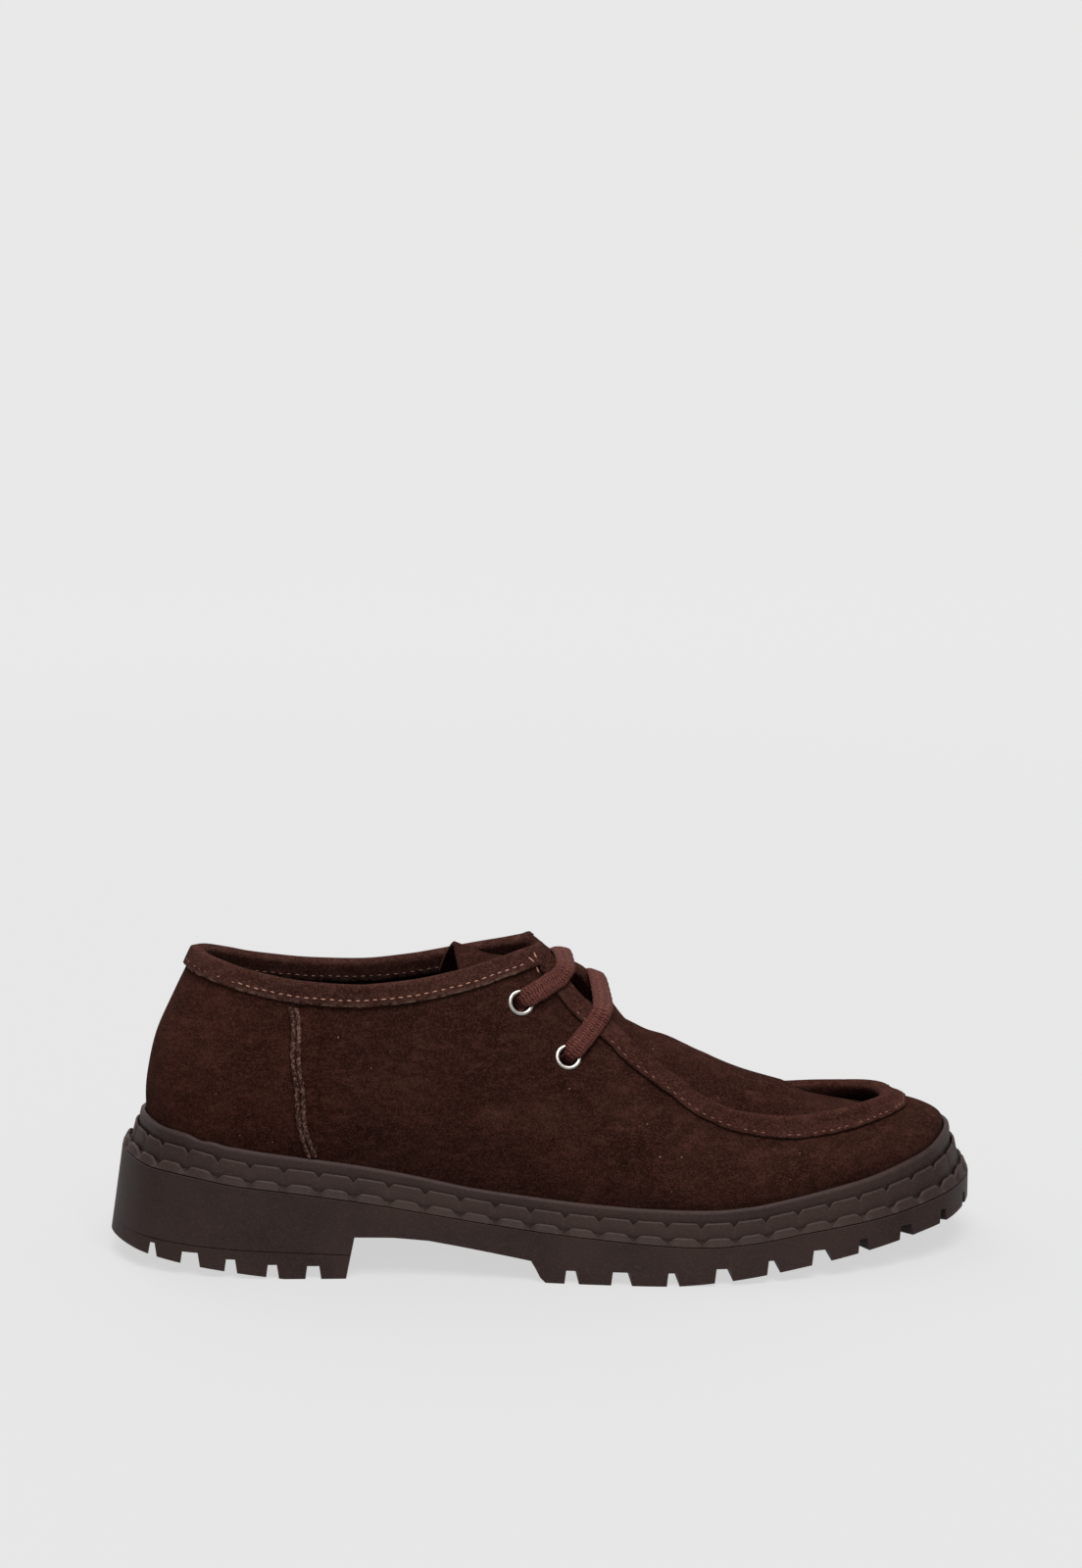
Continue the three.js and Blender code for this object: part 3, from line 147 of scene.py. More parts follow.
# Unit sole. One piece of foamed rubber, moulded with a heel, an arch, two stepped rows of teeth
# under a smooth rim, and lugs below. Its cavity holds the insole and the foot of the upper.
centre_shift = (0.7012, -1.8901)
sole_length = 301
ball_width = 110
heel_width = 82
heel_stack = 49.6
ball_stack = 23.7
toe_stack = 39.8
toe_spring = 14
heel_bevel = 7.4
band_height = 11
welt_width = 8.4
side_lean = 2
heel_lean = 4
cavity_depth = 8
tooth_count = 60
upper_notch = 1.9
lower_notch = 2.5
tread_depth = 4.4
tread_draft = 0.8
arch_height = 14
narrow_groove = 3.8
wide_groove = 6.4
channel_width = 3.2
channel_inset = 15
heel_line_height = 7.9
heel_line_rise = 4.2
outline_steps = 60
gap = 0.3


def table(names, *rows):
    """Rows of numbers under named columns."""
    keys = names.split()
    return {key: np.array([row[k] for row in rows], float) for k, key in enumerate(keys)}


def column(rows, by, key, at):
    """One column of a table, smooth through its rows and without overshoot."""
    x, y = rows[by], rows[key]
    at = np.clip(at, x[0], x[-1])
    slope = np.diff(y) / np.diff(x)
    before, after = slope[:-1], slope[1:]
    same = before * after > 0
    inner = np.where(same, 2 * before * after / np.where(same, before + after, 1), 0)
    tangent = np.concatenate([slope[:1], inner, slope[-1:]])
    k = np.clip(np.searchsorted(x, at) - 1, 0, len(x) - 2)
    span = x[k + 1] - x[k]
    w = (at - x[k]) / span
    w2, w3 = w * w, w * w * w
    return (
        y[k] * (2 * w3 - 3 * w2 + 1)
        + y[k + 1] * (3 * w2 - 2 * w3)
        + tangent[k] * span * (w3 - 2 * w2 + w)
        + tangent[k + 1] * span * (w3 - w2)
    )


heel_outline = table(
    "along outer inner",
    (0.033, 0.28, 0.28),
    (0.083, 0.415, 0.415),
    (0.15, 0.485, 0.485),
    (0.24, 0.505, 0.495),
)
front_outline = table(
    "along outer inner",
    (0.34, 0.385, 0.36),
    (0.44, 0.422, 0.342),
    (0.54, 0.474, 0.368),
    (0.63, 0.508, 0.422),
    (0.71, 0.51, 0.466),
    (0.79, 0.468, 0.482),
    (0.86, 0.405, 0.456),
    (0.92, 0.315, 0.388),
    (0.968, 0.2, 0.283),
)
toe_side = 0.055
sole_rows = table(
    "turn heel toe band welt depth lean",
    (0, 1, 0, 1.1, 1, 2.2, 1),
    (0.0494, 0.977, 0, 1.1, 1, 2.1, 1),
    (0.0988, 0.935, 0, 1.13, 0.96, 1.85, 1),
    (0.1383, 0.885, 0, 1.13, 0.88, 1.6, 1),
    (0.1828, 0.755, 0, 1.05, 0.86, 1.3, 1),
    (0.2371, 0.645, 0, 1, 0.86, 1.1, 1),
    (0.2964, 0.529, 0, 1, 0.86, 1, 1),
    (0.3557, 0.382, 0, 0.98, 0.86, 1, 1),
    (0.4248, 0.205, 0, 0.9, 0.86, 1, 1),
    (0.5236, 0.066, 0, 0.91, 0.86, 1, 1),
    (0.5928, 0.016, 0, 0.97, 0.86, 1, 1),
    (0.6422, 0, 0, 1, 0.86, 1, 1),
    (0.6817, 0, 0.035, 0.98, 0.86, 1, 1),
    (0.7311, 0, 0.165, 1, 0.86, 1.05, 1),
    (0.775, 0, 0.305, 1.08, 0.87, 1.2, 0.9),
    (0.815, 0, 0.43, 1.16, 0.89, 1.35, 0.7),
    (0.86, 0, 0.61, 1.27, 0.92, 1.5, 0.5),
    (0.905, 0, 0.81, 1.36, 0.96, 1.75, 0.2),
    (0.95, 0, 0.94, 1.46, 1.02, 1.9, 0),
    (0.98, 0, 0.985, 1.52, 1.06, 2, 0),
    (1, 0, 1, 1.53, 1.08, 2, 0),
)


def side_points(side):
    heel = zip((heel_outline["along"] - 0.5) * sole_length, heel_outline[side] * heel_width)
    front = zip((front_outline["along"] - 0.5) * sole_length, front_outline[side] * ball_width)
    return [*heel, *front]


def smooth_loop(points, steps):
    """A closed line through points, curving evenly, as many short steps."""
    points = np.array(points, float)
    ahead = np.roll(points, -1, 0)
    span = np.linalg.norm(ahead - points, axis=1) ** 0.5
    line = []
    for k in range(len(points)):
        p0, p1, p2, p3 = (points[(k + j) % len(points)] for j in (-1, 0, 1, 2))
        d0, d1, d2 = span[k - 1], span[k], span[(k + 1) % len(points)]
        t1 = ((p1 - p0) / d0 - (p2 - p0) / (d0 + d1) + (p2 - p1) / d1) * d1
        t2 = ((p2 - p1) / d1 - (p3 - p1) / (d1 + d2) + (p3 - p2) / d2) * d1
        w = (np.arange(steps) / steps)[:, None]
        line.append(
            p1
            + t1 * w
            + (-3 * p1 + 3 * p2 - 2 * t1 - t2) * w**2
            + (2 * p1 - 2 * p2 + t1 + t2) * w**3
        )
    return np.concatenate([*line, points[:1]])


outline = smooth_loop(
    [(-sole_length / 2, 0)]
    + [(x, -y) for x, y in side_points("outer")]
    + [(sole_length / 2, toe_side * ball_width)]
    + side_points("inner")[::-1],
    outline_steps,
)


def run_along(line):
    """The length run along a line up to each of its points."""
    return np.concatenate([[0], np.cumsum(np.linalg.norm(np.diff(line, axis=0), axis=1))])


outline_run = run_along(outline) / run_along(outline)[-1]
tip_share = outline_run[(1 + len(side_points("outer"))) * outline_steps]


def share(turn):
    """Share of the outline's length that lies before a turn."""
    t = np.mod(turn, 2)
    return np.where(t <= 1, t * tip_share, tip_share + (t - 1) * (1 - tip_share))


def one_side(turn):
    t = np.mod(turn, 2)
    return np.where(t <= 1, t, 2 - t)


def on_outline(run):
    run = np.mod(run, 1)
    x = np.interp(run, outline_run, outline[:, 0])
    y = np.interp(run, outline_run, outline[:, 1])
    return np.stack([x, y, np.zeros_like(x)], -1)


def outward(turn):
    way = on_outline(share(turn) + 0.0015) - on_outline(share(turn) - 0.0015)
    way /= np.linalg.norm(way, axis=-1, keepdims=True)
    return np.stack([way[..., 1], -way[..., 0], np.zeros_like(way[..., 0])], -1)


def plan(turn, inset):
    """The outline at a turn (0 back, 1 tip, 2 back again round the inner side), moved inward."""
    return on_outline(share(turn)) - outward(turn) * np.asarray(inset)[..., None]


def sole_column(key, turn):
    return column(sole_rows, "turn", key, one_side(turn))


def rim_height(turn):
    heel = sole_column("heel", turn) * (heel_stack - ball_stack)
    toe = sole_column("toe", turn) * (toe_stack - ball_stack)
    return ball_stack + heel + toe


def band_at(turn):
    return band_height * sole_column("band", turn)


def welt_at(turn):
    return welt_width * sole_column("welt", turn)


def floor_height(turn):
    return rim_height(turn) - cavity_depth * sole_column("depth", turn)


def side_inset(turn):
    near_heel = np.maximum(0, 1 - one_side(turn) / 0.1)
    return side_lean * sole_column("lean", turn) + heel_lean * near_heel


def at_height(points, height):
    points = points.copy()
    points[..., 2] = height
    return points


def in_frame(points):
    """Millimetres about the sole's middle to metres in the shared frame."""
    return (np.asarray(points, float) - (*centre_shift, 0)) / 1000


def lattice(us, vs, spot, loop_u=False, loop_v=False):
    """A sheet of len(us) by len(vs) points, each placed by spot(u, v). loop closes it on itself."""
    bm = bmesh.new()
    bmesh.ops.create_grid(bm, x_segments=len(us) - 1, y_segments=len(vs) - 1, size=0.5)
    bm.verts.ensure_lookup_table()
    i = np.array([round((vert.co.x + 0.5) * (len(us) - 1)) for vert in bm.verts])
    j = np.array([round((vert.co.y + 0.5) * (len(vs) - 1)) for vert in bm.verts])
    places = in_frame(spot(np.asarray(us)[i], np.asarray(vs)[j]))
    layer = bm.loops.layers.uv.new("run")
    for vert, place, a, b in zip(bm.verts, places, i, j):
        vert.co = place
        for loop in vert.link_loops:
            loop[layer].uv = (us[a], vs[b])
    if loop_u or loop_v:
        bmesh.ops.remove_doubles(bm, verts=bm.verts, dist=1e-6)
    return bm


def stand_piece(bm, name, finishes, smooth=None):
    """Makes a finished mesh a piece of the shoe."""
    mesh = bpy.data.meshes.new(name)
    bm.to_mesh(mesh)
    bm.free()
    mesh.shade_smooth()
    if smooth is not None:
        mesh.set_sharp_from_angle(angle=math.radians(smooth))
    for finish in finishes:
        mesh.materials.append(finish)
    piece = bpy.data.objects.new(name, mesh)
    scene.collection.objects.link(piece)
    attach(piece, "root")
    return piece


def outside_out(bm):
    """Turns a closed mesh's faces outward by its volume's sign."""
    if bm.calc_volume(signed=True) < 0:
        bmesh.ops.reverse_faces(bm, faces=bm.faces)


def close_ends(bm):
    """Fills a mesh's open ends and turns its faces outward."""
    ends = [edge for edge in bm.edges if edge.is_boundary]
    if ends:
        bmesh.ops.holes_fill(bm, edges=ends, sides=0)
    outside_out(bm)


band_rows = (
    # share of the band's height, share of the welt's width, row of teeth, painted light: highlight
    # on edges above 0, shade in grooves below 0
    (-0.035, 0.0, None, 0.0),
    (-0.01, 0.075, None, -1.0),
    (0.02, 0.025, None, 0.2),
    (0.2, 0.165, "lower", 0.1),
    (0.232, 0.19, "lower", 1.0),
    (0.252, 0.225, "lower", 0.9),
    (0.25, 0.29, "lower", 0.0),
    (0.13, 0.335, None, -1.0),
    (0.13, 0.37, None, -1.0),
    (0.24, 0.405, None, -0.3),
    (0.6, 0.54, "upper", 0.1),
    (0.638, 0.562, "upper", 0.9),
    (0.658, 0.595, "upper", 0.8),
    (0.65, 0.645, "upper", 0.0),
    (0.5, 0.68, None, -1.0),
    (0.5, 0.71, None, -1.0),
    (0.64, 0.735, None, -0.4),
    (0.88, 0.755, None, 0.1),
    (0.96, 0.79, None, 0.7),
    (1.0, 0.86, None, 0.4),
    (1.0, 0.95, None, 0.0),
    (0.97, 1.0, None, -0.6),
)
tooth_steps = (0, 0.07, 0.14, 0.2, 0.3, 0.4, 0.5, 0.6, 0.7, 0.8, 0.86, 0.93)
sole_turns = np.array(
    [2 * (k + step) / tooth_count for k in range(tooth_count) for step in tooth_steps] + [2]
)


def rim_dip(turn):
    """Where the moulded rim has come out a little low and wavy, beside the heel."""
    places = ((0.146, 0.011, 1.1), (0.172, 0.012, 0.35), (1.86, 0.015, 0.7), (0.39, 0.05, 0.25))
    return sum(deep * np.exp(-(((turn - at) / wide) ** 2)) for at, wide, deep in places)


def sole_spot(turn, row):
    """Rows from under the tread up the toothed side and over the rim to the cavity's floor."""
    row = np.round(row).astype(int)
    rows = len(band_rows)
    band = np.clip(row - 2, 0, rows - 1)
    up = np.array([entry[0] for entry in band_rows])[band]
    inset = np.array([entry[1] for entry in band_rows])[band]
    kind = np.array([{None: 0, "lower": 1, "upper": 2}[entry[2]] for entry in band_rows])[band]
    off = np.abs(np.mod(turn * tooth_count / 2 + 0.5, 1) - 0.5)
    lower = lower_notch * np.clip(1.06 - off / 0.21, 0, 1)
    upper = upper_notch * np.clip(1 - off / 0.12, 0, 1)
    notch = np.where(kind == 1, lower, np.where(kind == 2, upper, 0))
    height = rim_height(turn) - band_at(turn) * (1 - up) - notch
    height = height - rim_dip(turn) * np.clip((up - 0.8) / 0.2, 0, 1)
    way = side_inset(turn) + welt_at(turn) * inset
    way = np.where(row == 0, 0, np.where(row == 1, side_inset(turn), way))
    height = np.where(row == 0, -2, height)
    height = np.where(row == 1, rim_height(turn) - band_at(turn) * 1.07, height)
    inside = row == rows + 2
    way = np.where(inside, side_inset(turn) + welt_at(turn), way)
    height = np.where(inside, floor_height(turn), height)
    return at_height(plan(turn, way), height)


bm = lattice(sole_turns, np.arange(len(band_rows) + 3), sole_spot, loop_u=True)
# A mask of painted light for the rubber, row by row: above 0 a painted highlight on the edges of
# rim and teeth, below 0 painted shade in the grooves.
edge_highlight_groove_shade = bm.verts.layers.float.new("edge_highlight_groove_shade")
run = bm.loops.layers.uv["run"]
for vert in bm.verts:
    row = round(vert.link_loops[0][run].uv.y) - 2
    if 0 <= row < len(band_rows):
        vert[edge_highlight_groove_shade] = band_rows[row][3]
close_ends(bm)

arch_rows = table(
    "along up",
    (-0.2155, 1),
    (-0.173, 0.985),
    (-0.133, 0.92),
    (-0.093, 0.78),
    (-0.055, 0.64),
    (-0.0195, 0.51),
    (-0.0145, 0.33),
    (-0.0095, 0.12),
)
bevel_start = -0.207 * 1.42 * sole_length
breast = -0.22 * sole_length
ball_start = -0.0035 * sole_length
spring_start = 0.14 * sole_length


def tread_height(x):
    """Line of the tread seen from the side."""
    bevel = heel_bevel * (bevel_start - x) / (sole_length / 2 + bevel_start)
    ahead = np.maximum(0, x - spring_start) / (sole_length / 2 - spring_start)
    return np.where(x < bevel_start, bevel, toe_spring * ahead**1.25)


def swept_cut(rings):
    """A closed cutter through rings of points."""
    rings = [in_frame(ring) for ring in rings]
    bm = bmesh.new()
    last = None
    for ring in rings:
        verts = [bm.verts.new(point) for point in ring]
        edges = [bm.edges.new((verts[k - 1], verts[k])) for k in range(len(verts))]
        if last is None:
            bmesh.ops.contextual_create(bm, geom=edges)
        else:
            bmesh.ops.bridge_loops(bm, edges=last + edges)
        last = edges
    bmesh.ops.contextual_create(bm, geom=last)
    bmesh.ops.recalc_face_normals(bm, faces=bm.faces)
    outside_out(bm)
    return bm


def under_cut():
    """What lies under the tread: the heel's bevel, the arch and the toe spring."""
    far = 0.6 * sole_length
    line = [(-far, -6), (-far, float(tread_height(-far))), (bevel_start, 0), (breast - 1.6, 0)]
    for along, up in zip(arch_rows["along"], arch_rows["up"]):
        line.append((along * sole_length, up * arch_height))
    line.append((ball_start, 0))
    for x in np.linspace(spring_start, far, 16):
        line.append((x, float(tread_height(x))))
    line.append((far, -6))
    return swept_cut([[(x, y, z) for x, z in line] for y in (-ball_width, ball_width)])


def groove_cut(start, end, width):
    """A straight cut across the tread, narrower at its bottom."""
    along = (end - start) / np.linalg.norm(end - start)
    across = np.array([-along[1], along[0], 0])
    rings = []
    for at in (start, end):
        base = float(tread_height(at[0]))
        corners = (
            (-width / 2 - tread_draft, base - 4),
            (width / 2 + tread_draft, base - 4),
            (width / 2 - tread_draft / 2, base + tread_depth),
            (-width / 2 + tread_draft / 2, base + tread_depth),
        )
        rings.append([(*(at + across * side)[:2], z) for side, z in corners])
    return swept_cut(rings)


def channel_cut(turns, section):
    """A cut that follows the outline. section: inset from the edge and height over the tread."""
    rings = []
    for turn in turns:
        ring = []
        for inset, up in section:
            x, y, _ = plan(np.array(turn), inset)
            ring.append((x, y, float(tread_height(x)) + up))
        rings.append(ring)
    return swept_cut(rings)


# Each groove: its turn, and how far its width lies between the narrow and the wide one.
heel_grooves = ((0.2618, 0.4), (0.2228, 0), (0.1838, 0), (0.1447, 0.9), (0.1057, -0.5))
front_grooves = ((0.5108, 0.2), (0.5582, 1), (0.6066, 0), (0.6541, 0.7), (0.7015, 0.1), (0.7499, 1))
toe_grooves = ((0.7977, 0), (0.848, 0.6), (0.8983, -0.2), (0.9497, -0.2), (1, -0.2))
cuts = [under_cut()]
for turn, wide in heel_grooves + front_grooves:
    width = narrow_groove + wide * (wide_groove - narrow_groove)
    ends = plan(np.array([turn, 2 - turn]), np.array([-3, -3]))
    cuts.append(groove_cut(ends[0], ends[1], width))
for turn, wide in toe_grooves:
    width = narrow_groove + wide * (wide_groove - narrow_groove)
    for way in {turn, 2 - turn}:
        ends = plan(np.array([way, way]), np.array([-4, channel_inset]))
        cuts.append(groove_cut(ends[0], ends[1], width))
section = (
    (channel_inset - channel_width / 2 - tread_draft, -4),
    (channel_inset - channel_width / 2 + tread_draft / 2, tread_depth),
    (channel_inset + channel_width / 2 - tread_draft / 2, tread_depth),
    (channel_inset + channel_width / 2 + tread_draft, -4),
)
front, rear = front_grooves[0][0], heel_grooves[0][0]
cuts.append(channel_cut(np.linspace(front, 2 - front, 60), section))
cuts.append(channel_cut(np.linspace(2 - rear, 2 + rear, 32), section))


def heel_line_cut():
    """The fine line moulded round the heel, a little above its tread."""
    rings = []
    for turn in np.linspace(1.7, 2.3, 60):
        x = plan(np.array(turn), 0)[0]
        z = heel_line_height + heel_line_rise * (breast - x) / (sole_length / 2 + breast)
        lean = float(side_inset(turn)) * 0.2
        ring = []
        for inset, up in ((lean - 1.5, 1.3), (lean + 0.8, 0), (lean - 1.5, -1.3)):
            x, y, _ = plan(np.array(turn), inset)
            ring.append((x, y, z + up * 0.75))
        rings.append(ring)
    return swept_cut(rings)


cuts.append(heel_line_cut())


def cut_from(bm, cutters):
    """Cuts cutters from a mesh, one after the other."""
    body = bpy.data.meshes.new("cut_body")
    bm.to_mesh(body)
    bm.free()
    holder = bpy.data.objects.new("cut_body", body)
    scene.collection.objects.link(holder)
    for cutter in cutters:
        tool_mesh = bpy.data.meshes.new("cut_tool")
        cutter.to_mesh(tool_mesh)
        cutter.free()
        tool = bpy.data.objects.new("cut_tool", tool_mesh)
        scene.collection.objects.link(tool)
        modifier = holder.modifiers.new("cut", "BOOLEAN")
        modifier.operation = "DIFFERENCE"
        modifier.solver = "EXACT"
        modifier.object = tool
        shape = bpy.data.meshes.new_from_object(
            holder.evaluated_get(bpy.context.evaluated_depsgraph_get())
        )
        holder.modifiers.remove(modifier)
        holder.data = shape
        bpy.data.objects.remove(tool)
        bpy.data.meshes.remove(tool_mesh)
    done = bmesh.new()
    done.from_mesh(holder.data)
    bpy.data.objects.remove(holder)
    return done


def mix_colour(tree, factor, a, b, way="MIX"):
    """A colour between two others. Each of the three is a plain value or a socket."""
    made = node(tree, "Mix", data_type="RGBA", blend_type=way)
    for k, value in ((0, factor), (6, a), (7, b)):
        put(tree, value, made.inputs[k])
    return made.outputs[2]


def noise_at(tree, scale, detail=3, roughness=0.6, where=None):
    made = node(tree, "TexNoise", where or place_on(tree))
    for key, value in (("Scale", scale), ("Detail", detail), ("Roughness", roughness)):
        made.inputs[key].default_value = value
    return made.outputs["Fac"]


def band_of(tree, value, low, high, to_low=0.0, to_high=1.0):
    """Maps a value between low and high onto a new range, held at its ends."""
    return node(tree, "MapRange", value, low, high, to_low, to_high).outputs["Result"]


def mask_of(tree, name):
    return node(tree, "Attribute", attribute_name=name).outputs["Fac"]


def dress(tree, shader, colour, height, distance, strength=1.0, roughness=None):
    """Gives a shader its colour, a bump and, where stated, its roughness."""
    bump = node(tree, "Bump")
    for key, value in (("Strength", strength), ("Distance", distance), ("Height", height)):
        put(tree, value, bump.inputs[key])
    put(tree, colour, shader.inputs["Base Color"])
    put(tree, bump.outputs["Normal"], shader.inputs["Normal"])
    if roughness is not None:
        put(tree, roughness, shader.inputs["Roughness"])


rubber, tree, shader = material("sole_rubber", specular_ior_level=0.1)
cloud, speck, mottle = noise_at(tree, 30, 5), noise_at(tree, 1300, 2), noise_at(tree, 330)
light_rubber = (0.0235, 0.0136, 0.0114, 1)
tint = mix_colour(tree, band_of(tree, cloud, 0.35, 0.65), (0.0145, 0.0081, 0.0067, 1), light_rubber)
tint = mix_colour(tree, band_of(tree, mottle, 0.35, 0.7, 0, 0.35), tint, light_rubber)
tint = mix_colour(tree, band_of(tree, speck, 0.5, 0.75, 0, 0.35), tint, (0.046, 0.029, 0.025, 1))
painted_light_mask = mask_of(tree, "edge_highlight_groove_shade")
broken = band_of(tree, mottle, 0.3, 0.55, 0.3, 1)
# Painted highlight: the edges of the rim and teeth are made paler, as where light catches them.
painted_edge_highlight = sums(tree, "MULTIPLY", band_of(tree, painted_light_mask, 0.1, 1, 0, 0.36), broken)
tint = mix_colour(tree, painted_edge_highlight, tint, (0.052, 0.036, 0.033, 1))
# Painted shade: the grooves, the parting line and the cavity's edge are made darker.
tint = mix_colour(tree, band_of(tree, painted_light_mask, -0.1, -0.9, 0, 0.7), tint, (0.007, 0.004, 0.0035, 1))
grain = sums(tree, "ADD", speck, mottle)
dress(tree, shader, tint, grain, 0.0004, 0.22, band_of(tree, cloud, 0.3, 0.7, 0.5, 0.68))

sole = stand_piece(cut_from(bm, cuts), "sole_moulding", [rubber], smooth=38)
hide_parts("sole_unit")

# Upper. Suede heel panel, quarters and vamp lasted over the insole and cemented into the sole's
# cavity: one hollow wall 2 mm thick with a dark lining, with its top edge along collar and apron.
wall = 2
throat_height = 107.2
collar_back_height = 105.1
collar_low_height = 96.3
apron_height = 48.4
toe_ridge_height = 50.2
collar_width = 52
throat_gap = 23
apron_width = 56
inner_sag = 2.4
inner_skew = 3
inner_flare = 10.7
crest_height = 106.8
corner_turn = 0.4667
barrel_radius = 3.2
hole_radius = 3.6
hole_reach = 9
panel_seam = (-74.3, 90)
panel_seam_lean = 9.5 / 45
panel_seam_blur = 1.2

collar_rows = table(
    "turn along side back throat lift swell drop spread",
    (0, 0.105, 0, 1, 0, 0.42, 1.5, 0.35, 9),
    (0.0593, 0.115, 0.33, 0.94, 0, 0.42, 2, 0.35, 8),
    (0.1186, 0.14, 0.61, 0.73, 0, 0.4, 3, 0.35, 6.5),
    (0.1778, 0.183, 0.82, 0.38, 0, 0.38, 4.5, 0.35, 5),
    (0.2371, 0.237, 0.945, 0.1, 0, 0.36, 6, 0.35, 4),
    (0.2964, 0.293, 1, 0, 0, 0.36, 6.5, 0.35, 4),
    (0.3458, 0.347, 0.99, 0, 0.12, 0.36, 6.5, 0.35, 5.5),
    (0.3952, 0.403, 0.92, 0, 0.39, 0.36, 6, 0.34, 8),
    (0.4298, 0.45, 0.735, 0, 0.7, 0.36, 5.5, 0.32, 12),
    (0.4667, 0.497, throat_gap / collar_width, 0, 1, 0.36, 5, 0.3, 16),
)
front_rows = table(
    "turn along close wide rise toe flare lift swell drop spread",
    (0.4667, 0.497, 1, 0, 1, 0, 0.075, 0.36, 5, 0.3, 16),
    (0.4765, 0.5123, 1, 0.01, 0.9, 0, 0.24, 0.36, 5, 0.3, 16),
    (0.4875, 0.5267, 0.92, 0.07, 0.785, 0, 0.52, 0.36, 4.5, 0.3, 15.5),
    (0.4989, 0.542, 0.8, 0.17, 0.692, 0, 0.8, 0.36, 4.5, 0.28, 15),
    (0.5138, 0.5563, 0.6, 0.3, 0.626, 0, 0.91, 0.36, 4, 0.27, 14),
    (0.5335, 0.5747, 0.3, 0.5, 0.558, 0, 0.59, 0.36, 4, 0.26, 12.5),
    (0.573, 0.61, 0, 0.79, 0.395, 0, 0.08, 0.38, 3.5, 0.26, 10),
    (0.6076, 0.6467, 0, 0.9, 0.258, 0, 0, 0.42, 3, 0.28, 8),
    (0.6422, 0.68, 0, 0.965, 0.131, 0, 0, 0.5, 2.5, 0.32, 6),
    (0.6817, 0.7233, 0, 1, 0.041, 0, 0, 0.58, 2, 0.4, 4),
    (0.7361, 0.78, 0, 1, 0, 0.2, 0, 0.62, 2, 0.5, 2),
    (0.7805, 0.82, 0, 0.94, 0, 0.45, 0, 0.64, 2, 0.5, 1.5),
    (0.8218, 0.847, 0, 0.835, 0, 0.72, 0, 0.64, 1.8, 0.45, 1.5),
    (0.8585, 0.868, 0, 0.71, 0, 1.02, 0, 0.62, 1.5, 0.4, 1.5),
    (0.9057, 0.889, 0, 0.52, 0, 1.12, 0, 0.6, 1, 0.38, 1.5),
    (0.9528, 0.9025, 0, 0.28, 0, 1.05, 0, 0.58, 0.6, 0.36, 2),
    (1, 0.906, 0, 0, 0, 0.92, 0, 0.58, 0.5, 0.35, 2),
)
crest_rows = table(
    "along up sway",
    (0.4, 0.995, 0),
    (0.41, 0.985, 0),
    (0.433, 0.955, 0),
    (0.467, 0.935, 0),
    (0.5, 0.885, 0),
    (0.533, 0.83, 0),
    (0.567, 0.775, 0),
    (0.6, 0.727, 0),
    (0.657, 0.658, 0),
    (0.727, 0.563, 0),
    (0.783, 0.515, 0.4),
    (0.82, 0.478, 1.6),
    (0.85, 0.451, 3),
    (0.887, 0.42, 4.4),
    (0.906, 0.398, 5),
)
collar_rows["half"] = collar_rows["side"] * collar_width / 2
collar_rows["flare"] = np.where(collar_rows["turn"] < corner_turn, 0, 0.075)
collar_rows["height"] = (
    collar_low_height
    + collar_rows["back"] * (collar_back_height - collar_low_height)
    + collar_rows["throat"] * (throat_height - collar_low_height)
)
front_rows["half"] = (front_rows["close"] * throat_gap + front_rows["wide"] * apron_width) / 2
front_rows["height"] = (
    apron_height
    + front_rows["rise"] * (throat_height - apron_height)
    + front_rows["toe"] * (toe_ridge_height - apron_height)
)


def blend(a, b, w):
    return a + (b - a) * w


def outer_at(turn, up):
    """Outer face of the upper. up: 0 at the sole's rim, 1 at the top edge."""
    turn, up = np.broadcast_arrays(np.asarray(turn, float), np.asarray(up, float))
    t = one_side(turn)

    def value(key):
        collar = column(collar_rows, "turn", key, t)
        return np.where(t <= corner_turn, collar, column(front_rows, "turn", key, t))

    side = np.where(np.mod(turn, 2) <= 1, -1, 1)
    near = np.maximum(0, 1 - np.abs(t - corner_turn) / 0.16)
    x = (value("along") - 0.5) * sole_length - np.where(side > 0, inner_skew * near, 0)
    sag = inner_sag * np.minimum(1, np.minimum(t, 1 - t) / 0.15)
    lifted = np.where(side > 0, value("flare") * inner_flare - sag, 0)
    sway = column(crest_rows, "along", "sway", x / sole_length + 0.5)
    top = np.stack([x, side * value("half") + sway, value("height") + lifted], -1)
    foot = at_height(plan(turn, side_inset(turn) + welt_at(turn) + gap), rim_height(turn))
    out = outward(turn)
    tall = top[..., 2] - foot[..., 2]
    low = foot + out * value("swell")[..., None]
    low[..., 2] += value("lift") * tall
    high = top + out * value("spread")[..., None]
    high[..., 2] -= value("drop") * tall
    up = up[..., None]
    down = 1 - up
    return foot * down**3 + low * 3 * down**2 * up + high * 3 * down * up**2 + top * up**3


def unit(ways):
    return ways / np.linalg.norm(ways, axis=-1, keepdims=True)


def frame_at(turn, up):
    """Outward normal, way up the wall, and way across it towards rising turns."""
    turn, up = np.broadcast_arrays(np.asarray(turn, float), np.asarray(up, float))
    along = outer_at(turn + 0.002, up) - outer_at(turn - 0.002, up)
    rise = outer_at(turn, np.minimum(1, up + 0.01)) - outer_at(turn, np.maximum(0, up - 0.01))
    normal = unit(np.cross(along, rise))
    rise = unit(rise)
    return normal, rise, unit(np.cross(rise, normal))


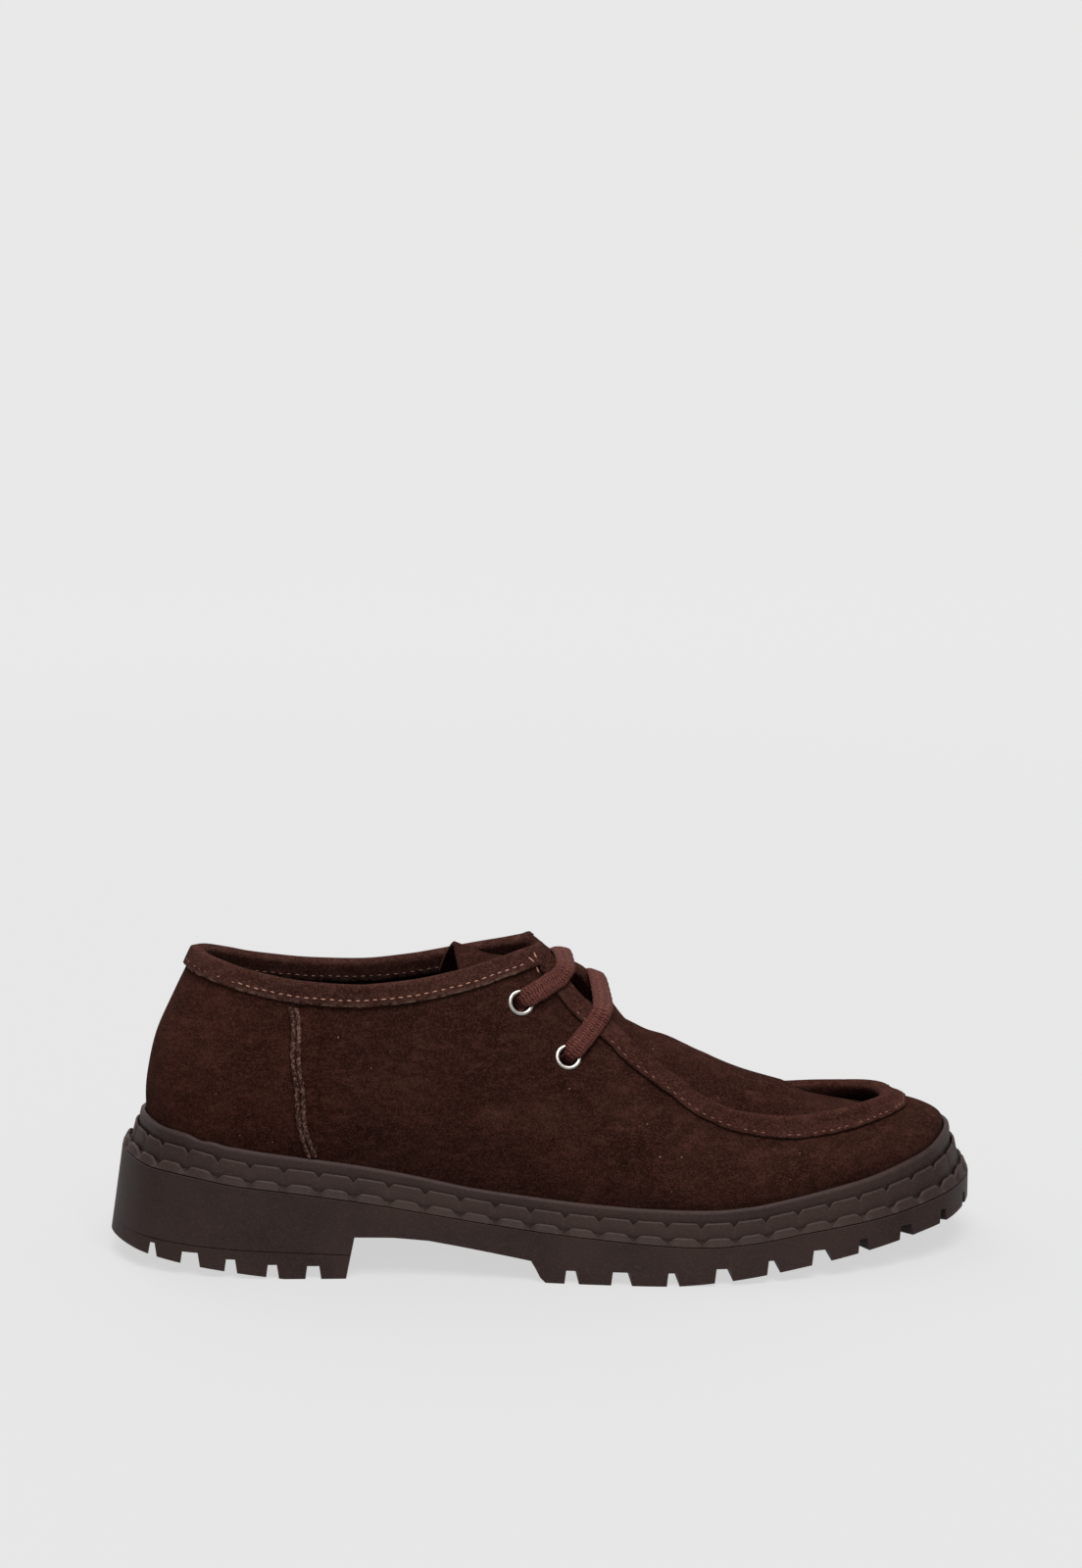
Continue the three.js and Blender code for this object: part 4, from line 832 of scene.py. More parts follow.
def up_below(turn, distance):
    """How high on the wall a point lies that is a distance down from the top edge."""
    turn, distance = np.broadcast_arrays(np.asarray(turn, float), np.asarray(distance, float))
    flat_turn, flat = turn.ravel(), distance.ravel()
    keys, back = np.unique(np.round(flat_turn, 6), return_inverse=True)
    ups = np.linspace(1, 0, 81)
    line = outer_at(keys[:, None], ups[None, :])
    run = np.cumsum(np.linalg.norm(np.diff(line, axis=1), axis=2), axis=1)
    run = np.concatenate([np.zeros((len(keys), 1)), run], 1)
    found = np.array([np.interp(d, run[k], ups) for k, d in zip(back.ravel(), flat)])
    return found.reshape(turn.shape)


def crease(points, start, end, width, depth):
    """A soft trough (negative depth) or ridge along a short line, fading at its ends. Points and
    line are given in the same two or three dimensions."""
    start, end = np.array(start, float), np.array(end, float)
    way = end - start
    along = np.clip((points - start) @ way / (way @ way), 0, 1)
    off = np.linalg.norm(points - start - along[..., None] * way, axis=-1)
    fade = np.clip(np.sin(np.pi * np.clip(along, 0.02, 0.98)) * 1.6, 0, 1)
    return depth * fade * np.exp(-((off / width) ** 2))


wall_creases = (
    # side, start and end along the shoe and up, width, depth: where quarter and vamp have bent
    (-1, (-41, 62), (5, 55), 5, -0.9),
    (-1, (-32, 50), (8, 47), 5, 0.7),
    (-1, (-14, 78), (10, 52), 5, -0.7),
    (-1, (-2, 76), (22, 50), 4.5, 0.6),
    (-1, (-62, 72), (-30, 66), 7, -0.7),
    (-1, (-92, 84), (-80, 56), 8, -0.7),
    (-1, (22, 54), (42, 60), 3, -0.6),
    (-1, (20, 48), (60, 38), 5, 0.7),
    (-1, (34, 42), (70, 33), 5, -0.6),
    (-1, (96, 42), (112, 38), 2.4, -0.5),
    (-1, (100, 36), (118, 42), 2.2, 0.5),
    (1, (-20, 76), (8, 50), 5, -0.8),
    (1, (-52, 72), (-20, 62), 7, -0.8),
    (1, (-10, 60), (30, 48), 6, 0.8),
    (1, (30, 44), (64, 38), 5, -0.7),
    (1, (-96, 84), (-78, 58), 7, -0.7),
)


def surface_of(points, normal, creases):
    """Points of the wall moved along its normal by the creases on their side of the shoe."""
    move = 0
    for side, *entry in creases:
        move = move + crease(points[..., [0, 2]], *entry) * (points[..., 1] * side > 0)
    return points + normal * move[..., None]


def wavy(points, scale, seed):
    """A slow even wave over a surface, so that soft leather isn't ruled."""
    x, y, z = (points[..., k] / scale for k in range(3))
    return (
        np.sin(1.9 * x + 1.3 * y + seed)
        + np.sin(2.3 * y - 1.7 * z + 2.1 * seed)
        + np.sin(2.9 * z + 0.8 * x + 3.7 * seed)
    ) / 3


outer_rows = 44
wall_rows = outer_rows + 22


def wall_spot(turn, row):
    """Rows 0 to outer_rows climb the outer face, then over the edge and down the lining."""
    climb = np.clip((row - 1) / (outer_rows - 1), 0, 1)
    fall = np.clip((row - outer_rows - 3) / (wall_rows - outer_rows - 4), 0, 1)
    up = np.where(row <= outer_rows, climb, 1 - fall)
    normal, rise, _ = frame_at(turn, np.minimum(up, 0.995))
    points = outer_at(turn, up)
    soft = np.sin(np.pi * np.clip(up, 0, 1)) ** 0.6
    points = points + normal * (wavy(points, 11, 1.0) * 0.35 * soft)[..., None]
    points = surface_of(points, normal * soft[..., None], wall_creases)
    turnover = np.clip((row - outer_rows) / 3, 0, 1)
    depth = wall * (1 - np.cos(np.pi * turnover)) / 2
    over = 0.7 * np.sin(np.pi * turnover)
    points = points - normal * depth[..., None] + rise * over[..., None]
    foot = (row < 0.5) | (row > wall_rows - 0.5)
    sunk = floor_height(turn) + 2 * gap
    points[..., 2] = np.where(foot, sunk, points[..., 2])
    return points


eyelet_rows = (
    # name, turn, height on the wall, turns where the lace crosses the outer and inner edge
    ("upper", 0.452, 0.785, 0.483, 0.491),
    ("lower", 0.494, 0.68, 0.5235, 0.527),
)


def eyelet_frame(turn, up):
    """Centre on the wall's outer face, outward normal, way up and way across, as single vectors."""
    normal, rise, across = frame_at(turn, up)
    return outer_at(turn, up), normal, np.cross(normal, across), across


upper_bm = lattice(np.linspace(0, 2, 541), np.arange(wall_rows + 1), wall_spot, loop_u=True)
for name, turn, up, _, _ in eyelet_rows:
    for way in (turn, 2 - turn):
        centre, normal, rise, across = eyelet_frame(way, up)
        centre, axis = Vector(in_frame(centre)), Vector(normal)
        gone = []
        for face in upper_bm.faces:
            off = face.calc_center_median() - centre
            flat = off - axis * off.dot(axis)
            if off.length < hole_reach / 1000 and flat.length < barrel_radius / 1000:
                gone.append(face)
        bmesh.ops.delete(upper_bm, geom=gone, context="FACES")
        for vert in upper_bm.verts:
            off = vert.co - centre
            flat = off - axis * off.dot(axis)
            if off.length < hole_reach / 1000 and flat.length < hole_radius / 1000:
                vert.co += flat.normalized() * (hole_radius / 1000 - flat.length)
panel = upper_bm.verts.layers.float.new("heel_panel")
for vert in upper_bm.verts:
    x, _, z = vert.co * 1000
    seam = panel_seam[0] + panel_seam_lean * (panel_seam[1] - z)
    vert[panel] = 1 / (1 + math.exp(min(50, max(-50, (x - seam) / panel_seam_blur))))
for face in upper_bm.faces:
    row = np.mean([loop[upper_bm.loops.layers.uv["run"]].uv.y for loop in face.loops])
    face.material_index = 1 if row > outer_rows + 2 else 0


def shader_group(name, inputs, *outputs):
    """An empty shader group: its tree, what it is given, and what it puts out."""
    tree = bpy.data.node_groups.new(name, "ShaderNodeTree")
    for socket, value in inputs.items():
        kind = "NodeSocketColor" if isinstance(value, tuple) else "NodeSocketFloat"
        tree.interface.new_socket(socket, in_out="INPUT", socket_type=kind).default_value = value
    for socket in outputs:
        kind = "NodeSocketColor" if socket == "Color" else "NodeSocketFloat"
        tree.interface.new_socket(socket, in_out="OUTPUT", socket_type=kind)
    given, put_out = tree.nodes.new("NodeGroupInput"), tree.nodes.new("NodeGroupOutput")
    return tree, given.outputs, put_out.inputs


def place_group(tree, group, **values):
    """Places a shader group in a material, with values for its named inputs."""
    placed = node(tree, "Group", node_tree=group)
    for name, value in values.items():
        put(tree, value, placed.inputs[name])
    return placed.outputs


black = (0, 0, 0, 1)
nap, given, put_out = shader_group(
    "suede_nap",
    {"Deep": black, "Main": black, "Brushed": black, "Warmth": 0.0, "Specks": 1.0},
    "Color", "Height", "Roughness",
)
slanted = node(nap, "Mapping", place_on(nap))
slanted.inputs["Scale"].default_value = (1, 1, 2.4)
slanted.inputs["Rotation"].default_value = (0.2, 0.35, 0.3)
patches = noise_at(nap, 38, 5, 0.62)
strokes = noise_at(nap, 150, 4, 0.65, slanted.outputs["Vector"])
fibres, grit = noise_at(nap, 1800, 3, 0.7), noise_at(nap, 620, 2, 0.5)
base = mix_colour(nap, band_of(nap, patches, 0.36, 0.63), given["Deep"], given["Main"])
for map_of, high, most in ((strokes, 0.75, 0.65), (grit, 0.8, 0.4)):
    base = mix_colour(nap, band_of(nap, map_of, 0.5, high, 0, most), base, given["Brushed"])
    base = mix_colour(nap, band_of(nap, map_of, 0.5, 1 - high, 0, most), base, given["Deep"])
red = mix_colour(nap, 1.0, base, (1.12, 1.0, 0.97, 1), "MULTIPLY")
base = mix_colour(nap, given["Warmth"], base, red)
base = mix_colour(nap, band_of(nap, fibres, 0.5, 0.7, 0, 0.95), base, given["Brushed"])
base = mix_colour(nap, band_of(nap, fibres, 0.5, 0.32, 0, 0.85), base, given["Deep"])
dust = node(nap, "TexVoronoi", place_on(nap))
dust.inputs["Scale"].default_value = 270
rare = node(nap, "SeparateColor", dust.outputs["Color"]).outputs[0]
dust_spot = band_of(nap, dust.outputs["Distance"], 0.085, 0.05, 0, 0.75)
dust_spot = sums(nap, "MULTIPLY", dust_spot, band_of(nap, rare, 0.84, 0.98))
dust_spot = sums(nap, "MULTIPLY", dust_spot, given["Specks"])
put(nap, mix_colour(nap, dust_spot, base, (0.2, 0.14, 0.115, 1)), put_out["Color"])
height = sums(nap, "MULTIPLY", fibres, 0.6)
for map_of, most in ((strokes, 0.8), (grit, 0.35)):
    height = sums(nap, "ADD", height, sums(nap, "MULTIPLY", map_of, most))
put(nap, height, put_out["Height"])
put(nap, band_of(nap, strokes, 0.3, 0.7, 0.96, 0.82), put_out["Roughness"])


def suede_finish(name, deep, main, brushed, specks=1.0, bump_depth=0.0006, warmth=None, over=None):
    """Brushed suede. warmth: the mask where it is redder. over: adds a last layer of colour."""
    made, tree, shader = material(
        name, specular_ior_level=0, sheen_weight=0.02, sheen_roughness=0.45,
        sheen_tint=(0.62, 0.42, 0.36, 1),
    )
    colours = {"Deep": (*deep, 1), "Main": (*main, 1), "Brushed": (*brushed, 1)}
    redder = mask_of(tree, warmth) if warmth else 0.0
    colour, height, roughness = place_group(tree, nap, **colours, Warmth=redder, Specks=specks)
    colour = over(tree, colour) if over else colour
    dress(tree, shader, colour, height, bump_depth, 0.6, roughness)
    return made


suede = suede_finish(
    "upper_suede", (0.0088, 0.0032, 0.0023), (0.0178, 0.0065, 0.0047), (0.039, 0.0155, 0.0117),
    warmth="heel_panel",
)
lining, tree, shader = material("lining_cloth", roughness=0.95, specular_ior_level=0.05)
weave = noise_at(tree, 700, 2)
tint = mix_colour(tree, weave, (0.009, 0.0038, 0.003, 1), (0.018, 0.0082, 0.0066, 1))
dress(tree, shader, tint, weave, 0.0003)

upper = stand_piece(upper_bm, "upper_suede_wall", [suede, lining])
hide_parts("upper")

# Insole. A foamed foot bed 4 mm thick, covered with dark cloth. It lies loose on the floor of the
# sole's cavity, inside the foot of the upper.
insole_thickness = 4


def insole_spot(turn, ring):
    """Rings from the edge inward, each with its share of the width and of the thickness."""
    share_in = np.array([1, 1, 0.97, 0.9, 0.75, 0.5, 0.25, 0.02])
    lift = np.array([0, 0.7, 1, 1, 0.92, 0.86, 0.84, 0.84])
    ring = np.round(ring).astype(int)
    inset = side_inset(turn) + welt_at(turn) + 2 * gap + wall
    edge = plan(turn, inset)
    across = edge.copy()
    across[..., 1] = 1.5
    across[..., 0] = np.clip(edge[..., 0], -0.36 * sole_length, 0.34 * sole_length)
    points = across + (edge - across) * share_in[ring][..., None]
    base_height = floor_height(turn) + 2 * gap
    middle = np.interp(points[..., 0], spine_x, spine_z)
    height = middle + (base_height - middle) * share_in[ring] + insole_thickness * lift[ring]
    return at_height(points, height)


spine_turns = np.linspace(0, 1, 60)
spine_x = plan(spine_turns, np.full_like(spine_turns, 12.0))[:, 0]
spine_z = floor_height(spine_turns) + 2 * gap
order = np.argsort(spine_x)
spine_x, spine_z = spine_x[order], spine_z[order]
bm = lattice(np.linspace(0, 2, 181), np.arange(8), insole_spot, loop_u=True)
close_ends(bm)
insole = stand_piece(bm, "insole_bed", [lining], smooth=50)
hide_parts("insole")

# Apron and tongue. One piece of suede, set into the front as the plug of a moccasin and left
# free above it as the tongue, whose end stands up in an arch between the facings.
binding_thickness = 1.2
binding_width = 7.5
tongue_thickness = 1.8
tongue_rows = table(
    "along half fall outer_back inner_back",
    (0.402, 17.5, 14, 1, 9),
    (0.417, 18, 12.5, 1.5, 8),
    (0.44, 18.2, 11.5, 2, 6.5),
    (0.467, 18, 11, 2.5, 5),
    (0.5, 18.2, 12, 3, 4),
    (0.533, 19, 12.5, 3, 3),
    (0.567, 20.5, 12.5, 2.5, 2.5),
)
plug_turns = np.array([0.58, 0.615, 0.65, 0.69, 0.73, 0.77, 0.81, 0.85, 0.89, 0.92, 0.945, 0.965])
plug_drop = 6


def crest_at(x):
    return crest_height * column(crest_rows, "along", "up", x / sole_length + 0.5)


def sway_at(x):
    return column(crest_rows, "along", "sway", x / sole_length + 0.5)


tongue_x = (tongue_rows["along"] - 0.5) * sole_length
tongue_crest = np.stack([tongue_x, sway_at(tongue_x), crest_at(tongue_x)], -1)
seat = wall + gap + binding_thickness + gap


def tongue_side(side, back):
    move = np.stack([-tongue_rows[back], side * tongue_rows["half"], -tongue_rows["fall"]], -1)
    return tongue_crest + move


def plug_side(turns):
    up = up_below(turns, plug_drop)
    return outer_at(turns, up) - frame_at(turns, up)[0] * seat


near_edge = np.concatenate([tongue_side(-1, "outer_back"), plug_side(plug_turns)])
far_edge = np.concatenate([tongue_side(1, "inner_back"), plug_side(2 - plug_turns)])
plug_middle = (near_edge + far_edge)[len(tongue_x) :] / 2 + (1.5, 0, 0)
plug_middle[:, 2] = crest_at(plug_middle[:, 0])
crest_line = np.concatenate([tongue_crest, plug_middle])
toe_fan = plug_side(np.array([0.995]))
near_edge = np.concatenate([near_edge, toe_fan + (0, -2.0, 0)])
far_edge = np.concatenate([far_edge, toe_fan + (0, 2.0, 0)])
crest_line = np.concatenate([crest_line, toe_fan + (0.2, 0, -0.3)])


def along_line(points, at):
    """A point at a fractional index of a line, curving evenly through its points."""
    points = np.concatenate([2 * points[:1] - points[1:2], points, 2 * points[-1:] - points[-2:-1]])
    k = np.clip(np.floor(at).astype(int), 0, len(points) - 4)
    w = (at - k)[..., None]
    p0, p1, p2, p3 = (points[k + j] for j in range(4))
    return 0.5 * (
        2 * p1 + (p2 - p0) * w + (2 * p0 - 5 * p1 + 4 * p2 - p3) * w**2
        + (3 * p1 - p0 - 3 * p2 + p3) * w**3
    )


plug_creases = (
    # start and end along and across the shoe, width, depth: where the instep has bent
    ((28, -16), (52, 4), 3.2, -0.9),
    ((36, -18), (62, 2), 3.2, 0.8),
    ((20, -14), (42, 10), 4, -0.6),
    ((48, -20), (76, -6), 3.6, -0.8),
    ((68, -14), (90, 2), 3.4, 0.9),
    ((76, -16), (98, -6), 3.4, -0.6),
    ((24, 14), (50, 20), 5, -0.7),
    ((-30, -14), (-18, 0), 4, 0.6),
    ((84, 7), (136, 4), 10, -3.6),
)


def tongue_spot(u, v):
    crest, near, far = (along_line(line, v) for line in (crest_line, near_edge, far_edge))
    edge = np.where(u[..., None] < 0, near, far)
    s = np.abs(u)
    reach = np.stack([s**2, s, s**2.2], -1)
    points = crest + (edge - crest) * reach
    points[..., 0] += 3.5 * s**3 * np.clip(1 - v / 2.5, 0, 1) ** 2
    lift = sum(crease(points[..., :2], *entry) for entry in plug_creases)
    lift = lift + wavy(points, 9, 4.0) * 0.3 * (1 - s**4)
    held = np.clip((1 - s) * 6, 0, 1) * np.clip((last_row - v) * 0.8 + 0.2, 0, 1)
    points[..., 2] += lift * held
    return points


last_row = len(crest_line) - 1
bm = lattice(np.linspace(-1, 1, 57), np.linspace(0, last_row, 145), tongue_spot)
bmesh.ops.recalc_face_normals(bm, faces=bm.faces)
if sum(face.normal.z * face.calc_area() for face in bm.faces) < 0:
    bmesh.ops.reverse_faces(bm, faces=bm.faces)
bmesh.ops.solidify(bm, geom=list(bm.faces), thickness=tongue_thickness / 1000)
outside_out(bm)
plug_suede = suede_finish(
    "apron_suede", (0.0085, 0.003, 0.0022), (0.0172, 0.0062, 0.0045), (0.039, 0.0152, 0.0117), 0.6
)
tongue = stand_piece(bm, "apron_and_tongue", [plug_suede])
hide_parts("apron_tongue")

# Bindings. Suede tape folded over the cut edges, where 7 mm of it shows: one round the collar, one
# down the facings and round the apron, which makes the raised ridge. Its own edges are left raw.
tape_steps = 9
mm_per_turn = 370
corner_in = corner_turn + 0.0026
corner_out = corner_turn + 0.0004


def leg_at(turn):
    """Reach of the tape down the wall, longer where the wall meets its edge at a slant."""
    t = one_side(turn)
    side = np.where(np.mod(turn, 2) <= 1, 1, -1)
    way = side * np.where(t < corner_turn, -0.004, 0.004)
    edge = unit(outer_at(turn + way, 1) - outer_at(turn, 1))
    rise = frame_at(turn, 0.995)[1]
    return binding_width / np.maximum(0.7, np.linalg.norm(np.cross(rise, edge), axis=-1))


def tape_profile(fold_rise):
    """The tape's closed section: share of the leg down, offset from the outer face, way over."""
    outer, inner = gap + binding_thickness, wall + gap + binding_thickness
    points = [(1.0, gap * 0.3, 0), (1.0, outer * 0.75, 0), (0.96, outer, 0)]
    points += [(s, outer, 0) for s in (0.8, 0.6, 0.4, 0.2, 0.06)]
    for k in range(1, tape_steps):
        angle = math.pi * k / tape_steps
        middle, half = (outer - inner) / 2, (outer + inner) / 2
        points.append((0, middle + half * math.cos(angle), fold_rise * math.sin(angle)))
    points += [(s, -inner, 0) for s in (0.06, 0.3, 0.6, 0.96)]
    points += [(1.0, -inner + 0.3, 0), (1.0, -wall - gap * 0.3, 0)]
    points += [(0.5, -wall - gap * 0.5, 0), (0.05, -wall - gap * 0.5, 0)]
    points += [(0, -wall / 2, gap * 0.8), (0.05, gap * 0.5, 0), (0.5, gap * 0.5, 0)]
    return np.array(points)


def tape(turns, low, high, reach, seed, ragged, fold_rise, puff):
    """One folded tape. low, high: the turns between which its reach is measured. ragged: how
    uneven its edge is cut. puff: how much it swells between stitches."""
    profile = tape_profile(fold_rise)
    rows = len(profile)

    def spot(turn, row):
        row = np.mod(np.round(row).astype(int), rows)
        down, off, over = profile[row, 0], profile[row, 1], profile[row, 2]
        held = np.clip(one_side(turn), low, high)
        leg = leg_at(np.where(np.mod(turn, 2) <= 1, held, 2 - held)) * reach
        run = turn * mm_per_turn
        edge = 0.5 * np.sin(run * 0.61 + seed) * np.sin(run * 0.173 + 2 * seed)
        edge = edge + 0.28 * np.sin(run * 2.3 + 3 * seed) * np.sin(run * 0.9 + seed)
        leg = leg * (1 + 0.04 * ragged * edge * (down > 0.9))
        swell = puff * (0.5 * np.sin(run * 0.35 + seed) + 0.5 * np.sin(run * 0.93 + 2.2 * seed))
        off = off + np.sign(off) * np.maximum(0, swell) * (np.abs(off) > 1) * (down < 0.7)
        end = np.clip((one_side(turn) - corner_turn + 0.0075) / 0.005, 0, 1) * (low == 0)
        off = off + np.sign(off) * 0.45 * end * (np.abs(off) > 1)
        over = over * (1 + 0.35 * end)
        up = up_below(turn, down * leg)
        normal, rise, _ = frame_at(turn, np.where(down < 0.08, 0.995, up))
        return outer_at(turn, up) + normal * off[..., None] + rise * over[..., None]

    bm = lattice(turns, np.arange(rows + 1), spot, loop_v=True)
    close_ends(bm)
    raw = bm.verts.layers.float.new("raw_edge")
    layer = bm.loops.layers.uv["run"]
    for vert in bm.verts:
        row = int(round(np.mean([loop[layer].uv.y for loop in vert.link_loops]))) % rows
        t = float(one_side(vert.link_loops[0][layer].uv.x))
        cut = 1.0 if profile[row, 0] > 0.98 else (0.35 if profile[row, 0] > 0.9 else 0.0)
        kept = min(1, max(0, (corner_turn - 0.009 - t) / 0.01))
        vert[raw] = cut * kept if t < corner_turn + 0.01 else cut
    return bm


fray, given, put_out = shader_group(
    "raw_edge_fray", {"Base": black, "Cut": black, "Mask": 0.0}, "Color"
)
amount = sums(fray, "MULTIPLY", given["Mask"], band_of(fray, noise_at(fray, 420), 0.42, 0.6))
put(fray, mix_colour(fray, amount, given["Base"], given["Cut"]), put_out["Color"])


def tape_finish(name, deep, main, brushed, cut_edge):
    """Suede tape with a paler cut edge, broken up by its fibres."""

    def frayed(tree, colour):
        mask = mask_of(tree, "raw_edge")
        return place_group(tree, fray, Base=colour, Cut=cut_edge, Mask=mask)["Color"]

    return suede_finish(name, deep, main, brushed, 0.4, 0.0005, over=frayed)


collar_suede = tape_finish(
    "collar_tape", (0.0135, 0.0049, 0.0037), (0.0265, 0.0101, 0.0077), (0.054, 0.024, 0.019),
    (0.17, 0.105, 0.083, 1),
)
ridge_suede = tape_finish(
    "ridge_tape", (0.0135, 0.0047, 0.0035), (0.026, 0.0096, 0.0073), (0.052, 0.022, 0.017),
    (0.045, 0.02, 0.0157, 1),
)
collar_turns = np.linspace(2 - corner_in, 2 + corner_in, 341)
bm = tape(
    collar_turns, 0, corner_turn - 0.005, reach=0.84, seed=1.7, ragged=1.0, fold_rise=1.4, puff=0.12
)
collar_tape = stand_piece(bm, "collar_tape", [collar_suede])
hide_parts("collar_binding")
ridge_turns = np.linspace(corner_out, 2 - corner_out, 361)
bm = tape(
    ridge_turns, corner_turn + 0.005, 1, reach=0.88, seed=0.6, ragged=0.6, fold_rise=1.7, puff=0.25
)
ridge_tape = stand_piece(bm, "apron_ridge", [ridge_suede])
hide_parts("apron_binding")

# Side seams. Heel panel and quarter are stitched edge to edge with their raw edges outward, so
# each side shows two pale fuzzy lips from under the collar's tape down to the sole.
seam_top = 0.2193
seam_foot = 0.2588
seam_width = 3.3
seam_length = 66
seam_middle_row = 4.6


def side_seam(side):
    """One seam as a closed strip with two raised lips and a groove between them."""
    profile = np.array(
        [(-0.56, 0.05), (-0.5, 0.75), (-0.34, 1.25), (-0.17, 1.2), (-0.05, 0.62), (0.05, 0.58)]
        + [(0.15, 1.1), (0.32, 1.3), (0.5, 0.8), (0.56, 0.05)]
    )

    def spot(way, row):
        row = np.round(row).astype(int)
        over, lift = profile[row, 0] * seam_width, profile[row, 1] + gap * 0.4
        t = seam_top + (seam_foot - seam_top) * way
        turn = t if side < 0 else 2 - t
        high = up_below(turn, binding_width + 0.4)
        up = high + (0.012 - high) * way
        normal, _, across = frame_at(turn, up)
        run = way * seam_length
        rag = np.sin(run * 1.9 + row) * np.sin(run * 0.53 + 1.7 * row)
        over = over + 0.22 * rag + 0.35 * np.sin(run * 0.21)
        lift = lift * (1 + 0.22 * np.sin(run * 2.7 + 2.3 * row))
        points = outer_at(turn, up)
        return points + across * over[..., None] + normal * lift[..., None]

    bm = lattice(np.linspace(0, 1, 161), np.arange(len(profile)), spot)
    close_ends(bm)
    return bm


def run_of(tree):
    """How far along and across its piece a point lies, from the piece's UV map."""
    return node(tree, "SeparateXYZ", node(tree, "UVMap", uv_map="run").outputs["UV"]).outputs


def two_lips(tree, colour):
    """Frayed pale edges with the dark joint between them."""
    pale_fray = band_of(tree, noise_at(tree, 700, 4, 0.7), 0.5, 0.62, 0, 0.75)
    colour = mix_colour(tree, pale_fray, colour, (0.15, 0.086, 0.068, 1))
    middle = sums(tree, "ABSOLUTE", sums(tree, "SUBTRACT", run_of(tree)["Y"], seam_middle_row), 0.0)
    joint = band_of(tree, middle, 1.5, 0.4, 0, 0.7)
    return mix_colour(tree, joint, colour, (0.011, 0.0042, 0.0032, 1))


seam_finish = suede_finish(
    "raw_seam", (0.008, 0.003, 0.0022), (0.03, 0.0125, 0.0093), (0.09, 0.045, 0.035), 0.2, 0.0008,
    over=two_lips,
)
for name, side in (("outer", -1), ("inner", 1)):
    seam = stand_piece(side_seam(side), f"side_seam_{name}_edges", [seam_finish])
    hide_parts(f"side_seam_{name}")

# Eyelets. Two bright nickel rings on each facing. Each has a rolled flange outside and a short
# barrel, which is pressed through the wall and closed over a second flange inside.
eyelet_hole = 5.6
eyelet_diameter = 9

nickel, tree, shader = material("eyelet_nickel", metallic=1.0)
smear = noise_at(tree, 420)
tint = mix_colour(tree, smear, (0.17, 0.15, 0.125, 1), (0.42, 0.4, 0.37, 1))
put(tree, tint, shader.inputs["Base Color"])
put(tree, band_of(tree, smear, 0.3, 0.7, 0.2, 0.36), shader.inputs["Roughness"])


def ring_of_nickel(centre, normal, rise, across):
    """A ring turned from its section: height over the wall's outer face against radius."""
    hole, barrel, rim = eyelet_hole / 2, barrel_radius, eyelet_diameter / 2
    lift, lip = 0.3, 3.1
    profile = [(hole, -wall - 0.8), (hole, -0.5), (hole + 0.08, 0)]
    for k in range(9):
        angle = math.pi * (1 - k / 8)
        spread, height = math.cos(angle), math.sin(angle)
        profile.append(((lip + rim) / 2 + (rim - lip) / 2 * spread, lift + 0.1 + 0.42 * height))
    profile += [(rim - 0.1, lift - 0.15), (barrel, lift - 0.15), (barrel, -wall - 0.35)]
    profile += [(rim - 0.6, -wall - 0.4), (rim - 0.5, -wall - 0.9), (hole + 0.2, -wall - 1.0)]
    bm = bmesh.new()
    verts = [bm.verts.new((radius / 1000, 0, height / 1000)) for radius, height in profile]
    edges = [bm.edges.new((verts[k - 1], verts[k])) for k in range(len(verts))]
    bmesh.ops.spin(
        bm, geom=verts + edges, axis=(0, 0, 1), cent=(0, 0, 0), steps=40, angle=2 * math.pi,
        use_merge=True, use_duplicate=False,
    )
    bmesh.ops.remove_doubles(bm, verts=bm.verts, dist=1e-6)
    bmesh.ops.recalc_face_normals(bm, faces=bm.faces)
    outside_out(bm)
    turned = Matrix((across, rise, normal)).transposed().to_4x4()
    turned.translation = Vector(in_frame(centre))
    if turned.to_3x3().determinant() < 0:
        turned.col[0] *= -1
    bmesh.ops.transform(bm, matrix=turned, verts=bm.verts)
    outside_out(bm)
    return bm


for name, turn, up, _, _ in eyelet_rows:
    for side, way in (("outer", turn), ("inner", 2 - turn)):
        bm = ring_of_nickel(*eyelet_frame(way, up))
        ring = stand_piece(bm, f"eyelet_ring_{side}_{name}", [nickel], smooth=50)
        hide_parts(f"eyelet_{side}_{name}")

# Lace. One flat woven lace, 7 mm wide: over the throat between the lower eyelets, up inside the
# facings, over again between the upper ones, with both ends left inside at the top eyelets.
lace_width = 7.1
lace_thickness = 1.8
lace_rise = 0.7
lace_count = 520
lace_sides = 24


def nearest_on_wall(point, turn, up):
    """The place on the wall nearest to a point, searched from a first guess."""
    small = 0.002
    for _ in range(8):
        at = outer_at(turn, up)
        along = (outer_at(turn + small, up) - at) / small
        rise = (at - outer_at(turn, up - small)) / small
        off = point - at
        shared = along @ rise
        area = (along @ along) * (rise @ rise) - shared**2
        turn = turn + ((off @ along) * (rise @ rise) - (off @ rise) * shared) / area
        up = min(1.0, up + ((off @ rise) * (along @ along) - (off @ along) * shared) / area)
    return turn, up


def side_way(side, turn):
    return turn if side < 0 else 2 - turn


